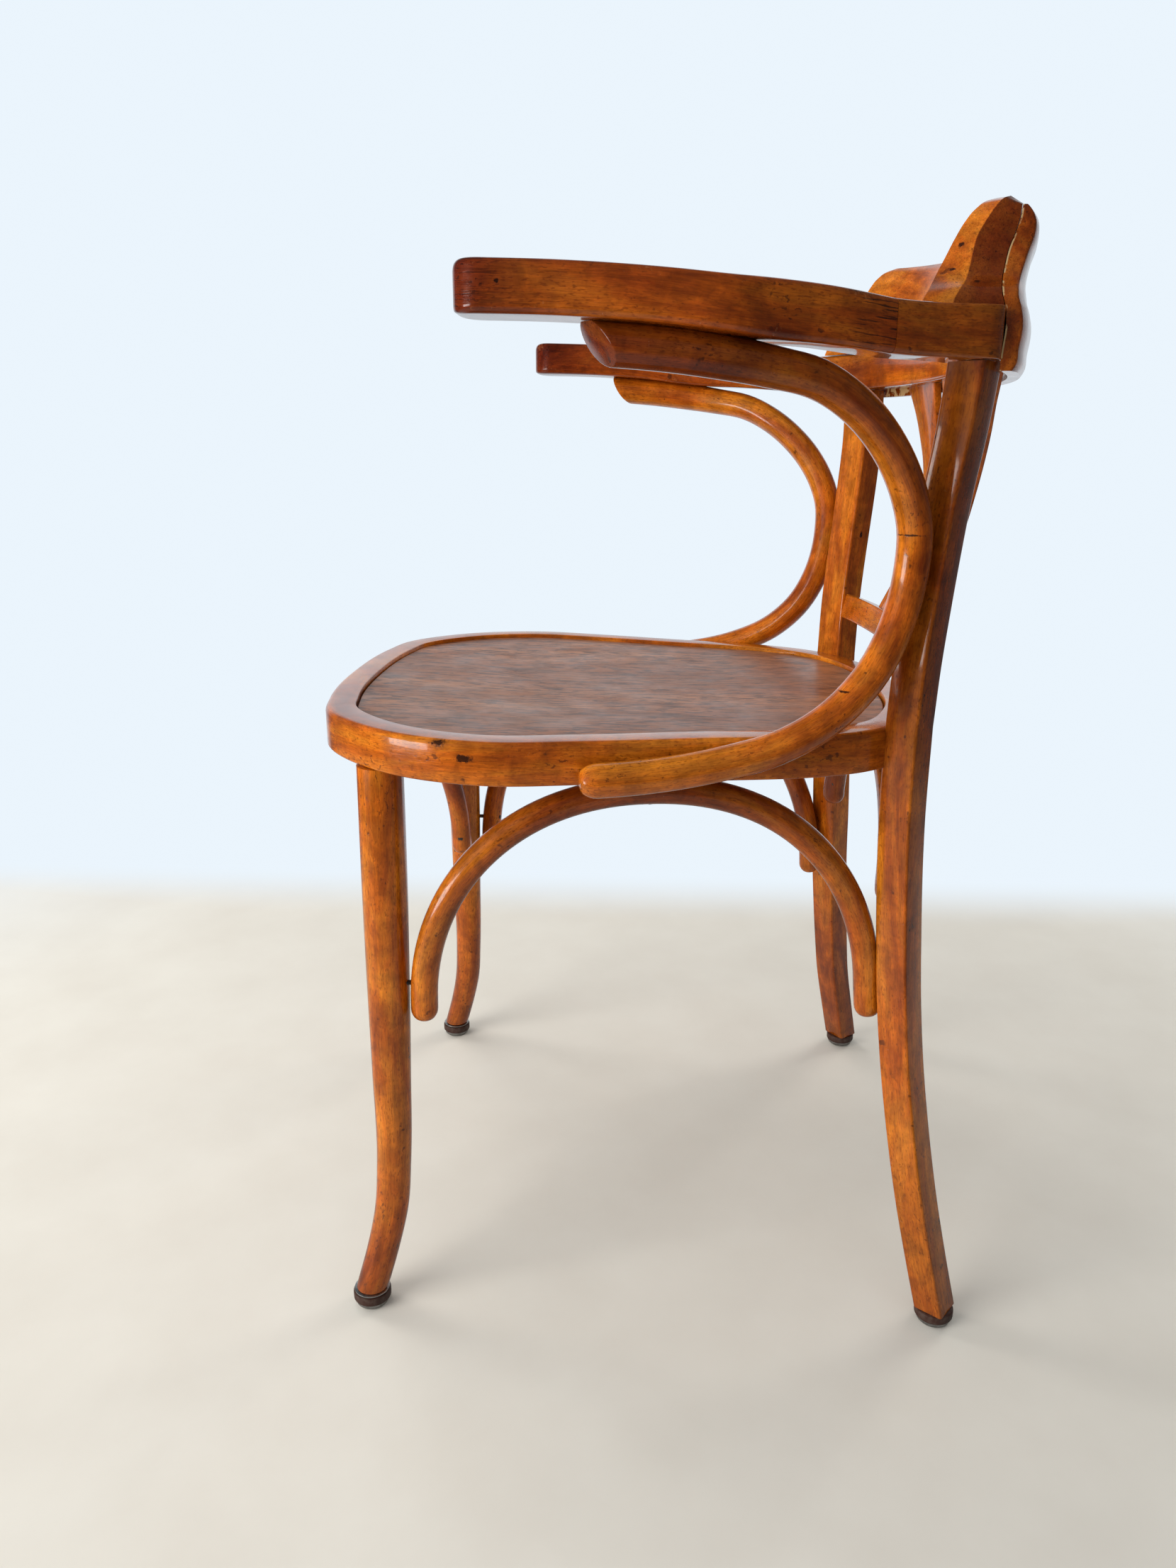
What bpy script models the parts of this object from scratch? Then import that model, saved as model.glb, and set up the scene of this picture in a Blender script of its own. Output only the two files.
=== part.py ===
"""Bentwood desk armchair with a plywood seat, at its real size.

Metres, +Z up. The sitter faces -Y and +X is the sitter's left. The origin lies on the
floor under the middle of the chair.
"""
import math

import bmesh
import bpy
import numpy as np
from mathutils import Matrix, Vector

# Gaps
TOUCH = 0.0003
WELD = 0.00005

# Seat frame and panel
SEAT_HEIGHT = 0.4747
SEAT_FALL = 0.0175
FRAME_THICKNESS = 0.031
FRAME_RIM = 0.023
FRAME_LEDGE = 0.042
RIM_ROUNDING = 0.0045
FRAME_BOTTOM_EDGE = 0.002
PANEL_THICKNESS = 0.005
PANEL_DROP = 0.0035
PANEL_GROOVE = 0.0012
PANEL_DISH = 0.004

# Seat frame's outer edge, from the middle of the front round the left side to the back
SEAT_OUTLINE = (
    (0.0, -0.268), (0.110, -0.261), (0.155, -0.2515), (0.200, -0.220), (0.2275, -0.185),
    (0.2465, -0.120), (0.2365, -0.055), (0.2175, 0.027), (0.195, 0.120), (0.1805, 0.149),
    (0.158, 0.174), (0.110, 0.198), (0.0, 0.212),
)
OUTLINE_STEPS = 50

# Glides
SOLE_RADIUS = 0.0135
SOLE_FLAT_RADIUS = 0.009
SOLE_HEIGHT = 0.005
CUP_RADIUS = 0.015
CUP_HEIGHT = 0.0075
COLLAR_RADIUS = 0.0142
COLLAR_HEIGHT = 0.0015
NAIL_RADIUS = 0.0018
NAIL_LENGTH = 0.020

# Front leg: share of its height, place, diameter
FRONT_FOOT = (0.2227, -0.2245)
FRONT_LEG = (
    (0.00, 0.2225, -0.2240, 0.0260), (0.08, 0.2165, -0.2145, 0.0262),
    (0.15, 0.2112, -0.2081, 0.0268), (0.25, 0.2068, -0.2050, 0.0272),
    (0.43, 0.2033, -0.2042, 0.0300), (0.60, 0.2008, -0.2038, 0.0325),
    (0.78, 0.1982, -0.2035, 0.0340), (1.00, 0.1965, -0.2030, 0.0340),
)
LEG_SHOULDER = 0.011
TENON_RADIUS = 0.0085
TENON_LENGTH = 0.016

# Rear leg and back post, one bent bar whose section is turned about the vertical.
# Share of the height below and above the seat, then place.
REAR_FOOT = (0.2215, 0.2275)
POST_TURN = math.radians(38.0)
POST_BELOW = (
    (0.00, 0.2215, 0.2275), (0.10, 0.2105, 0.2180), (0.19, 0.2025, 0.2100),
    (0.30, 0.1890, 0.2027), (0.41, 0.1777, 0.1967), (0.52, 0.1705, 0.1920),
    (0.63, 0.1645, 0.1890), (0.84, 0.1605, 0.1845), (1.00, 0.1625, 0.1835),
)
POST_ABOVE = (
    (0.00, 0.1625, 0.1835), (0.19, 0.1650, 0.1850), (0.35, 0.1663, 0.1877),
    (0.51, 0.1670, 0.1910), (0.67, 0.1695, 0.1945), (0.83, 0.1775, 0.1980),
    (1.00, 0.1895, 0.1990),
)
POST_WIDTH = 0.029
POST_DEPTH = 0.0255
POST_FOOT_WIDTH = 0.0255
POST_FOOT_DEPTH = 0.0235
POST_TAPER_END = 0.30
POST_EDGE = 0.0022

# Yoke: two arms and a back rail, glued end to end
YOKE_UNDERSIDE = 0.7225
YOKE_THICKNESS = 0.0315
ARM_FRONT = -0.127
ARM_OUTER = 0.297
ARM_BREADTH = 0.047
ARM_EDGE = 0.005
ARM_END_ROUNDING = 0.018
ARM_END_TOP_DROP = 0.0075
ARM_END_UNDERSIDE_DROP = 0.0030
RAIL_EDGE = 0.0025
SEAM_EDGE = 0.0006
# Station along the arm: outer edge, inner edge, rise of the top and of the underside
ARM_STATIONS = (
    (-0.060, ARM_OUTER, -0.060, ARM_OUTER - ARM_BREADTH, -0.060, 0.0152, 0.0172),
    (0.000, ARM_OUTER, 0.000, ARM_OUTER - ARM_BREADTH, -0.005, 0.0111, 0.0130),
    (0.033, 0.2920, 0.033, 0.2485, 0.018, 0.0086, 0.0095),
    (0.060, 0.2790, 0.060, 0.2425, 0.045, 0.0080, 0.0068),
    (0.098, 0.2620, 0.098, 0.2315, 0.083, 0.0056, 0.0045),
    (0.136, 0.2450, 0.136, 0.2170, 0.118, 0.0010, 0.0010),
)
ARM_TIP_RISE = 0.0172
ARM_TIP_UNDERSIDE_RISE = 0.0190
ARM_STEPS = 16
ARM_END_TURNS = (6.0, 18.0, 32.0, 46.0, 60.0, 75.0)
# Rear corner of the yoke: outer edge then inner edge
CORNER_STATIONS = (
    (0.2310, 0.1680, 0.2035, 0.1470),
    (0.2110, 0.2105, 0.1860, 0.1720),
)
RAIL_FRONT = 0.225
RAIL_FRONT_BOW = 1.25

# Seam between the back board and what it is glued to: an arc in plan, waved in height
SEAM_CENTRE = -0.224
SEAM_RADIUS = 0.480
SEAM_X = (0.0, 0.04, 0.08, 0.12, 0.15)
SEAM_END = 0.203
SEAM_GAP = 0.0005
SEAM_WAVE = (
    (0.000, 0.0), (0.031, 0.0), (0.040, -0.003), (0.050, -0.006), (0.061, -0.0065),
    (0.071, -0.0055), (0.081, -0.0025), (0.090, -0.0003), (0.104, 0.0005),
)

# Crest block: height above the yoke, half length, front corner, its place, back of the end band
CREST_SLICES = (
    (0.0000, 0.2070, 0.195, 0.1590, 0.1780, 0.2265),
    (0.0064, 0.2065, 0.193, 0.1615, 0.1800, 0.2275),
    (0.0106, 0.2000, 0.188, 0.1645, 0.1830, 0.2285),
    (0.0170, 0.1900, 0.178, 0.1690, 0.1885, 0.2295),
    (0.0255, 0.1805, 0.167, 0.1745, 0.1925, 0.2315),
    (0.0361, 0.1740, 0.160, 0.1805, 0.1955, 0.2335),
    (0.0488, 0.1720, 0.158, 0.1865, 0.1985, 0.2365),
    (0.0594, 0.1720, 0.158, 0.1920, 0.2040, 0.2400),
    (0.0679, 0.1715, 0.158, 0.1985, 0.2090, 0.2435),
    (0.0737, 0.1690, 0.156, 0.2065, 0.2140, 0.2470),
    (0.0764, 0.1640, 0.152, 0.2140, 0.2190, 0.2500),
)
CREST_FRONT_POWER = 3.0
CREST_FRONT_SHARES = (0.88, 0.72, 0.5, 0.25, 0.0)
# The top is lower in the middle than at the ends, and falls to the rear
CREST_DIP = 0.011
CREST_FALL = 0.0069
CREST_FALL_START = 0.0594
CREST_BAND_FALL_SHARE = 0.3
BOARD_FLARE = 0.3

# Back board: height above the yoke's underside, thickness. From the yoke's top on, the
# heights are those of the crest block's rear face.
BOARD_LOW_SLICES = ((-0.0065, 0.0090), (-0.0040, 0.0107), (0.0080, 0.0116), (0.0200, 0.0120))
BOARD_THICKNESSES = (
    0.0112, 0.0110, 0.0115, 0.0122, 0.0130, 0.0140, 0.0138, 0.0108, 0.0075, 0.0040,
)

# Lower cross rail
CROSS_RAIL_OVER_SEAT = 0.0362
CROSS_RAIL_FRONT = 0.193
CROSS_RAIL_SAG = 0.0139
CROSS_RAIL_LEAN = math.radians(14.0)
CROSS_RAIL_DEPTH = 0.0125
CROSS_RAIL_TALL = 0.023
CROSS_RAIL_STEPS = 9

# Back slats: flat boards bowed to the rear, on tenons narrower than themselves
SLAT_THICKNESS = 0.0065
SLAT_TURN = 0.035
SLAT_TENON = 0.009
SLAT_SHOULDER = 0.006
SLAT_EDGE = 0.0012
# Share of the height from the cross rail to the back rail: rear face
SLAT_REAR = (
    (0.00, 0.2085), (0.18, 0.2245), (0.35, 0.2345), (0.55, 0.2415), (0.65, 0.2425),
    (0.78, 0.2415), (0.90, 0.2392), (1.00, 0.2370),
)
# The same shares of the height: inner edge, outer edge
OUTER_SLAT = (
    (0.00, 0.0400, 0.0640), (0.18, 0.0410, 0.0655), (0.35, 0.0435, 0.0680),
    (0.55, 0.0460, 0.0740), (0.65, 0.0480, 0.0830), (0.78, 0.0499, 0.0995),
    (0.88, 0.0507, 0.1125), (0.96, 0.0520, 0.1265), (1.00, 0.0525, 0.1330),
)
MIDDLE_SLAT = (
    (0.00, -0.0120, 0.0120), (0.35, -0.0130, 0.0130), (0.65, -0.0145, 0.0145),
    (0.85, -0.0170, 0.0170), (1.00, -0.0200, 0.0200),
)
SLAT_SHARES = (0.08, 0.18, 0.28, 0.38, 0.48, 0.57, 0.65, 0.72, 0.79, 0.86, 0.92, 0.965)

# Arm bows
BOW_RADIUS = 0.0122
BOW_TIP_RADIUS = 0.0062
BOW_TIP_LENGTH = 0.012
BOW_LOW_END = (
    (-0.055, -0.0245), (-0.010, -0.0220), (0.040, -0.0150), (0.085, -0.0025),
)
# Place, and share of the height from the seat to the yoke
BOW_FREE_LOW = (
    (0.2025, 0.1240, 0.082), (0.1920, 0.1480, 0.185), (0.1864, 0.1625, 0.305),
)
BOW_TOUCH_SHARE = 0.468
BOW_TOUCH_SLIDE = 0.004
BOW_FREE_HIGH = (
    (0.1885, 0.1695, 0.580), (0.1945, 0.1625, 0.667), (0.2035, 0.1515, 0.747),
    (0.2160, 0.1360, 0.823), (0.2300, 0.1165, 0.890), (0.2440, 0.0915, 0.944),
)
# Place under the arm, and drop below a line that touches it
BOW_UNDER_ARM = (
    (0.2585, 0.058, 0.0020), (0.2675, 0.030, 0.0009), (0.2722, 0.000, 0.0005),
    (0.2738, -0.035, 0.0004), (0.2742, -0.080, 0.0004),
)
BOW_MITRE_X = 0.2738
BOW_MITRE_NORMAL = (0.467, -0.766, -0.444)
# The left and the right bow are sawn off at different places
BOW_MITRE_LEFT_Y = -0.0435
BOW_MITRE_RIGHT_Y = -0.0355
BOW_STEPS = 34

# Leg braces
BRACE_RADIUS = 0.0104
BRACE_TIP_RADIUS = 0.006
BRACE_TIP_LENGTH = 0.009
BRACE_POWER = 2.15
BRACE_STEPS = 22
BRACE_CLEARANCE = 0.0018
SIDE_BRACE_FRONT_FOOT = 0.247
SIDE_BRACE_REAR_FOOT = 0.236
SIDE_BRACE_SCREW = 0.277
SIDE_BRACE_SPRING = 0.258
FRONT_BRACE_FOOT = 0.246
FRONT_BRACE_SCREW = 0.265
FRONT_BRACE_SPRING = 0.258
REAR_BRACE_FOOT = 0.322
REAR_BRACE_SCREW = 0.345
REAR_BRACE_SPRING = 0.335
REAR_BRACE_SHIFT = -0.001
SIDE_BRACE_OUTSET = 0.004
SIDE_BRACE_SHIFT = 0.006

# Screws and dowels
SCREW_RADIUS = 0.002
SCREW_HEAD_RADIUS = 0.004
SCREW_HEAD_DOME = 0.0018
SCREW_SIDES = 8
HEAD_SINK = 0.0015
POCKET_DEPTH = 0.012
BRACE_SCREW_LENGTH = 0.034
BOW_SCREW_LENGTH = 0.030
BOW_POST_SCREW_LENGTH = 0.040
BOW_SEAT_SCREW_LENGTH = 0.050
BOW_SEAT_SCREW_SHIFT = 0.012
LAG_RADIUS = 0.003
LAG_HEAD_RADIUS = 0.006
LAG_LENGTH = 0.058
DOWEL_RADIUS = 0.004
DOWEL_LENGTH = 0.030

# Finishes: colour, roughness, metallic
AMBER_BEECH = ("amber_beech", (0.42, 0.15, 0.035), 0.28, 0.0)
ARM_BEECH = ("arm_beech", (0.30, 0.085, 0.02), 0.25, 0.0)
SEAT_PLY = ("seat_ply", (0.24, 0.11, 0.065), 0.35, 0.0)
BROWN_PLASTIC = ("brown_plastic", (0.035, 0.014, 0.008), 0.4, 0.0)
GLIDE_STEEL = ("glide_steel", (0.62, 0.62, 0.6), 0.3, 1.0)
SCREW_STEEL = ("screw_steel", (0.18, 0.16, 0.14), 0.45, 1.0)
DOWEL_BEECH = ("dowel_beech", (0.62, 0.42, 0.24), 0.6, 0.0)

for old in list(bpy.data.objects):
    bpy.data.objects.remove(old, do_unlink=True)
chair = bpy.data.collections.new("bentwood_armchair")
cutters = bpy.data.collections.new("cutters")
bpy.context.scene.collection.children.link(chair)
bpy.context.scene.collection.children.link(cutters)


# Shaping helpers

def finish(style):
    """Material of one finish, made the first time that it is asked for."""
    name, colour, roughness, metallic = style
    material = bpy.data.materials.get(name)
    if material is None:
        material = bpy.data.materials.new(name)
        material.use_nodes = True
        shader = material.node_tree.nodes["Principled BSDF"]
        shader.inputs["Base Color"].default_value = (*colour, 1.0)
        shader.inputs["Roughness"].default_value = roughness
        shader.inputs["Metallic"].default_value = metallic
    return material


def smooth(rows, at):
    """Columns of rows read on a smooth curve at a place along their first column."""
    rows = np.array(rows, dtype=float)
    key = rows[:, 0]
    values = rows[:, 1:]
    slopes = np.gradient(values, key, axis=0)
    i = int(np.clip(np.searchsorted(key, at) - 1, 0, len(key) - 2))
    span = key[i + 1] - key[i]
    t = (at - key[i]) / span
    start = (2 * t**3 - 3 * t**2 + 1) * values[i] + (t**3 - 2 * t**2 + t) * span * slopes[i]
    end = (3 * t**2 - 2 * t**3) * values[i + 1] + (t**3 - t**2) * span * slopes[i + 1]
    return start + end


def reaches(points):
    """Distance of each point along the line through all of them."""
    steps = np.linalg.norm(np.diff(points, axis=0), axis=1)
    return np.concatenate([[0.0], np.cumsum(steps)])


def curve_through(points, count):
    """Evenly spaced points on the smooth open curve through the given ones."""
    points = np.array(points, dtype=float)
    rows = np.column_stack([reaches(points), points])
    return np.array([smooth(rows, at) for at in np.linspace(0.0, rows[-1, 0], count)])


def loop_through(points, count):
    """Evenly spaced points on the smooth closed curve through the given ones."""
    points = np.array(points, dtype=float)
    lead = 3
    run = np.vstack([points[-lead:], points, points[:lead + 1]])
    rows = np.column_stack([reaches(run), run])
    first = rows[lead, 0]
    last = rows[lead + len(points), 0]
    return np.array([smooth(rows, at) for at in np.linspace(first, last, count, endpoint=False)])


def add_object(name, mesh, style=None):
    """Object of a mesh: a piece of the chair with its finish, or a cutter without one."""
    thing = bpy.data.objects.new(name, mesh)
    if style is None:
        cutters.objects.link(thing)
        thing.hide_render = True
        thing.display_type = 'WIRE'
    else:
        chair.objects.link(thing)
        mesh.materials.clear()
        mesh.materials.append(finish(style))
        mesh.shade_smooth()
        mesh.set_sharp_from_angle(angle=math.radians(35.0))
    return thing


def loft(name, rings, style=None, ring_shaped=False):
    """Solid skinned over sections that all have the same number of points."""
    shape = bmesh.new()
    loops = [[shape.verts.new(Vector(point)) for point in ring] for ring in rings]
    pairs = list(zip(loops, loops[1:]))
    if ring_shaped:
        pairs.append((loops[-1], loops[0]))
    else:
        shape.faces.new(loops[0])
        shape.faces.new(loops[-1])
    for near, far in pairs:
        for i in range(len(near)):
            j = (i + 1) % len(near)
            shape.faces.new((near[i], near[j], far[j], far[i]))
    bmesh.ops.recalc_face_normals(shape, faces=shape.faces)
    mesh = bpy.data.meshes.new(name)
    shape.to_mesh(mesh)
    shape.free()
    return add_object(name, mesh, style)


def read_mesh(thing):
    """Mesh of an object with its modifiers or its bevel applied."""
    ready = thing.evaluated_get(bpy.context.evaluated_depsgraph_get())
    mesh = bpy.data.meshes.new_from_object(ready)
    shape = bmesh.new()
    shape.from_mesh(mesh)
    bmesh.ops.remove_doubles(shape, verts=shape.verts, dist=WELD)
    bmesh.ops.recalc_face_normals(shape, faces=shape.faces)
    shape.to_mesh(mesh)
    shape.free()
    return mesh


def tube(name, route, radii, sides, style=None):
    """Round bar bent along a route, with its own radius at each point."""
    line = bpy.data.curves.new(name, 'CURVE')
    line.dimensions = '3D'
    line.bevel_depth = 1.0
    line.bevel_resolution = (sides - 4) // 2
    line.use_fill_caps = True
    spline = line.splines.new('POLY')
    spline.points.add(len(route) - 1)
    for knot, place, radius in zip(spline.points, route, radii):
        knot.co = (*place, 1.0)
        knot.radius = radius
    bar = bpy.data.objects.new(name, line)
    chair.objects.link(bar)
    mesh = read_mesh(bar)
    bpy.data.objects.remove(bar)
    return add_object(name, mesh, style)


def trim(piece, place, normal, reach):
    """Cut one end of a piece off flat. Only what lies within reach of the cut is touched."""
    shape = bmesh.new()
    shape.from_mesh(piece.data)
    near = {vert for vert in shape.verts if (vert.co - Vector(place)).length < reach}
    parts = list(near)
    parts += [edge for edge in shape.edges if near.issuperset(edge.verts)]
    parts += [face for face in shape.faces if near.issuperset(face.verts)]
    made = bmesh.ops.bisect_plane(shape, geom=parts, plane_co=place, plane_no=normal, clear_outer=True)
    rim = [item for item in made["geom_cut"] if isinstance(item, bmesh.types.BMEdge)]
    bmesh.ops.edgeloop_fill(shape, edges=rim)
    bmesh.ops.recalc_face_normals(shape, faces=shape.faces)
    shape.to_mesh(piece.data)
    shape.free()


def turned(profile, sides):
    """Mesh turned about Z from (radius, height) points that run from the top down."""
    outline = bpy.data.meshes.new("profile")
    edges = [(i, i + 1) for i in range(len(profile) - 1)]
    outline.from_pydata([(radius, 0.0, height) for radius, height in profile], edges, [])
    blank = bpy.data.objects.new("profile", outline)
    chair.objects.link(blank)
    turn = blank.modifiers.new("turn", 'SCREW')
    turn.steps = sides
    turn.render_steps = sides
    turn.use_merge_vertices = True
    turn.merge_threshold = WELD
    mesh = read_mesh(blank)
    bpy.data.objects.remove(blank)
    return mesh


def copies(name, labels, mesh, places, style):
    """One object for each place, all sharing a mesh."""
    for label, place in zip(labels, places):
        add_object(f"{name}_{label}", mesh, style).matrix_world = place


def cutter_group(name, mesh, places):
    """Cutter made of one mesh at several places."""
    shape = bmesh.new()
    for place in places:
        copy = mesh.copy()
        copy.transform(place)
        shape.from_mesh(copy)
        bpy.data.meshes.remove(copy)
    merged = bpy.data.meshes.new(name)
    shape.to_mesh(merged)
    shape.free()
    return add_object(name, merged)


def cut(piece, cutter):
    """Take a cutter's shape out of a piece."""
    step = piece.modifiers.new(cutter.name, 'BOOLEAN')
    step.operation = 'DIFFERENCE'
    step.object = cutter


def upright(place):
    """Placement with no turn."""
    return Matrix.Translation(Vector(place))


def driven(place, direction):
    """Placement of a screw whose head sits at a place and whose shank points in a direction."""
    turn = (-Vector(direction)).to_track_quat('Z', 'Y').to_matrix().to_4x4()
    return Matrix.Translation(Vector(place)) @ turn


def mirrored(points):
    """The same points on the other side of the chair."""
    return [(-point[0], *point[1:]) for point in points]


def both_sides(place):
    """A place and its mirror image."""
    return [place, (-place[0], place[1], place[2])]


def rounded_section(half_width, half_height, corner):
    """Rectangle with each corner cut once, as (across, up) pairs in order round it."""
    w, h, c = half_width, half_height, corner
    return [
        (w, -h + c), (w, h - c), (w - c, h), (-w + c, h),
        (-w, h - c), (-w, -h + c), (-w + c, -h), (w - c, -h),
    ]


# Seat

def seat_top(y):
    """Height of the seat frame's top."""
    return SEAT_HEIGHT - SEAT_FALL * y


def on_seat(point, depth):
    """Point of the plan at a depth below the seat frame's top."""
    return (point[0], point[1], seat_top(point[1]) - depth)


left_half = list(SEAT_OUTLINE)
right_half = mirrored(SEAT_OUTLINE[1:-1])[::-1]
seat_edge = loop_through(left_half + right_half, OUTLINE_STEPS)
edge_along = np.roll(seat_edge, -1, axis=0) - np.roll(seat_edge, 1, axis=0)
edge_along /= np.linalg.norm(edge_along, axis=1)[:, None]
edge_inward = np.column_stack([-edge_along[:, 1], edge_along[:, 0]])


def inset_edge(distance):
    """Seat frame's outer edge moved in by a distance."""
    return seat_edge + edge_inward * distance


def edge_x(y, inset=0.0):
    """Half width of the seat frame at a place along its left side."""
    points = inset_edge(inset)
    side = points[points[:, 0] > 0.0]
    side = side[np.argsort(side[:, 1])]
    return float(np.interp(y, side[:, 1], side[:, 0]))


def edge_y(front, inset=0.0):
    """Place of the seat frame's front or back edge on the chair's middle line."""
    points = inset_edge(inset)
    return float(points[:, 1].min() if front else points[:, 1].max())


panel_seat = PANEL_DROP + PANEL_THICKNESS + TOUCH
frame_section = (
    (0.0, RIM_ROUNDING), (RIM_ROUNDING * 0.29, RIM_ROUNDING * 0.29), (RIM_ROUNDING, 0.0),
    (FRAME_RIM, 0.0), (FRAME_RIM, panel_seat), (FRAME_LEDGE, panel_seat),
    (FRAME_LEDGE, FRAME_THICKNESS), (FRAME_BOTTOM_EDGE, FRAME_THICKNESS),
    (0.0, FRAME_THICKNESS - FRAME_BOTTOM_EDGE),
)
frame_rings = []
for edge_point, inward in zip(seat_edge, edge_inward):
    frame_rings.append([on_seat(edge_point + inward * inset, depth) for inset, depth in frame_section])
seat_ring = loft("seat_ring", frame_rings, AMBER_BEECH, ring_shaped=True)

panel_edge = inset_edge(FRAME_RIM + PANEL_GROOVE)
panel_inner = inset_edge(FRAME_LEDGE + PANEL_GROOVE)
panel_middle = panel_inner.mean(axis=0)


def panel_loop(share, depth):
    """Loop of the panel's dished part, shrunk towards its middle."""
    points = panel_middle + (panel_inner - panel_middle) * share
    return [on_seat(point, depth + PANEL_DISH * (1.0 - share**2)) for point in points]


dish_shares = (0.2, 0.62, 1.0)
panel_bottom = PANEL_DROP + PANEL_THICKNESS
panel_rings = [panel_loop(share, panel_bottom) for share in dish_shares]
panel_rings.append([on_seat(point, panel_bottom) for point in panel_edge])
panel_rings.append([on_seat(point, PANEL_DROP) for point in panel_edge])
panel_rings += [panel_loop(share, PANEL_DROP) for share in reversed(dish_shares)]
seat_panel = loft("seat_panel", panel_rings, SEAT_PLY)


def frame_underside(y):
    """Height of the seat frame's underside."""
    return seat_top(y) - FRAME_THICKNESS


# Legs

glide_top = SOLE_HEIGHT + TOUCH + CUP_HEIGHT
front_leg_bottom = glide_top + TOUCH + COLLAR_HEIGHT + TOUCH
post_bottom = glide_top + TOUCH
front_leg_top = frame_underside(FRONT_LEG[-1][2] + LEG_SHOULDER) - TOUCH


def front_leg_at(height):
    """Place and diameter of the left front leg at a height."""
    share = (height - front_leg_bottom) / (front_leg_top - front_leg_bottom)
    return smooth(FRONT_LEG, share)


def front_leg_line():
    """Route and radii of the left front leg, with its tenon at the top."""
    heights = [front_leg_bottom + (front_leg_top - front_leg_bottom) * share
               for share in (-0.02, 0.02, 0.05, 0.08, 0.11, 0.15, 0.20, 0.27, 0.36, 0.48, 0.62, 0.8, 1.0)]
    route = []
    radii = []
    for height in heights:
        x, y, diameter = front_leg_at(height)
        route.append((x, y, height))
        radii.append(diameter / 2)
    x, y, _ = front_leg_at(front_leg_top)
    route += [(x, y, front_leg_top + WELD), (x, y, front_leg_top + TENON_LENGTH)]
    radii += [TENON_RADIUS, TENON_RADIUS - 0.0005]
    return route, radii


leg_route, leg_radii = front_leg_line()
front_legs = [
    tube("front_leg_left", leg_route, leg_radii, 12, AMBER_BEECH),
    tube("front_leg_right", mirrored(leg_route), leg_radii, 12, AMBER_BEECH),
]

foot_x, foot_y = FRONT_FOOT
for leg, foot in zip(front_legs, both_sides((foot_x, foot_y, front_leg_bottom))):
    trim(leg, foot, (0.0, 0.0, -1.0), 5 * COLLAR_RADIUS)

tenon_hole = turned([
    (0.0, TENON_LENGTH + TOUCH), (TENON_RADIUS + TOUCH, TENON_LENGTH + TOUCH),
    (TENON_RADIUS + TOUCH, -FRAME_THICKNESS), (0.0, -FRAME_THICKNESS),
], 14)
tenon_places = [upright(place) for place in both_sides(leg_route[-2])]
cut(seat_ring, cutter_group("tenon_holes", tenon_hole, tenon_places))

outward_front = np.array([math.cos(POST_TURN), -math.sin(POST_TURN)])
outward_rear = np.array([math.sin(POST_TURN), math.cos(POST_TURN)])
post_top = YOKE_UNDERSIDE - TOUCH
post_seat_level = seat_top(POST_ABOVE[0][2])


def post_at(height):
    """Middle of the left back post at a height."""
    if height < post_seat_level:
        return smooth(POST_BELOW, (height - post_bottom) / (post_seat_level - post_bottom))
    return smooth(POST_ABOVE, (height - post_seat_level) / (post_top - post_seat_level))


def post_size(height):
    """Width and depth of the post's section at a height."""
    share = min(height / POST_TAPER_END, 1.0)
    width = POST_FOOT_WIDTH + (POST_WIDTH - POST_FOOT_WIDTH) * share
    depth = POST_FOOT_DEPTH + (POST_DEPTH - POST_FOOT_DEPTH) * share
    return width, depth


def post_ring(height, level, swell):
    """Section of the left post: its shape at a height, drawn at a level."""
    middle = post_at(height)
    width, depth = post_size(height)
    ring = []
    for across, up in rounded_section(width / 2 + swell, depth / 2 + swell, POST_EDGE):
        place = middle + outward_front * across + outward_rear * up
        ring.append((place[0], place[1], level))
    return ring


def post_rings(swell=0.0):
    """Sections of the left post from foot to top."""
    low = [post_bottom + (post_seat_level - post_bottom) * share
           for share in (0.0, 0.06, 0.13, 0.2, 0.27, 0.34, 0.42, 0.52, 0.63, 0.74, 0.86, 1.0)]
    high = [post_seat_level + (post_top - post_seat_level) * share
            for share in (0.12, 0.25, 0.38, 0.5, 0.6, 0.7, 0.78, 0.86, 0.93, 1.0)]
    levels = low + high
    rings = [post_ring(height, height, swell) for height in levels]
    if swell > 0.0:
        rings[0] = post_ring(levels[0], levels[0] - swell, swell)
        rings[-1] = post_ring(levels[-1], levels[-1] + swell, swell)
    return rings


posts = [
    loft("back_post_left", post_rings(), AMBER_BEECH),
    loft("back_post_right", [mirrored(ring) for ring in post_rings()], AMBER_BEECH),
]
post_cutters = [
    loft("post_space_left", post_rings(TOUCH)),
    loft("post_space_right", [mirrored(ring) for ring in post_rings(TOUCH)]),
]
for space in post_cutters:
    cut(seat_ring, space)

# Glides

sole = turned([
    (0.0, SOLE_HEIGHT + NAIL_LENGTH), (NAIL_RADIUS, SOLE_HEIGHT + NAIL_LENGTH - 2 * NAIL_RADIUS),
    (NAIL_RADIUS, SOLE_HEIGHT), (SOLE_RADIUS, SOLE_HEIGHT), (SOLE_RADIUS, SOLE_HEIGHT * 0.7),
    (SOLE_RADIUS * 0.88, SOLE_HEIGHT * 0.25), (SOLE_FLAT_RADIUS, 0.0), (0.0, 0.0),
], 12)
nail_gap = NAIL_RADIUS + TOUCH
cup = turned([
    (nail_gap, CUP_HEIGHT), (CUP_RADIUS - 0.001, CUP_HEIGHT), (CUP_RADIUS, CUP_HEIGHT - 0.001),
    (CUP_RADIUS, 0.001), (CUP_RADIUS - 0.001, 0.0), (nail_gap, 0.0), (nail_gap, CUP_HEIGHT),
], 12)
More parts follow.
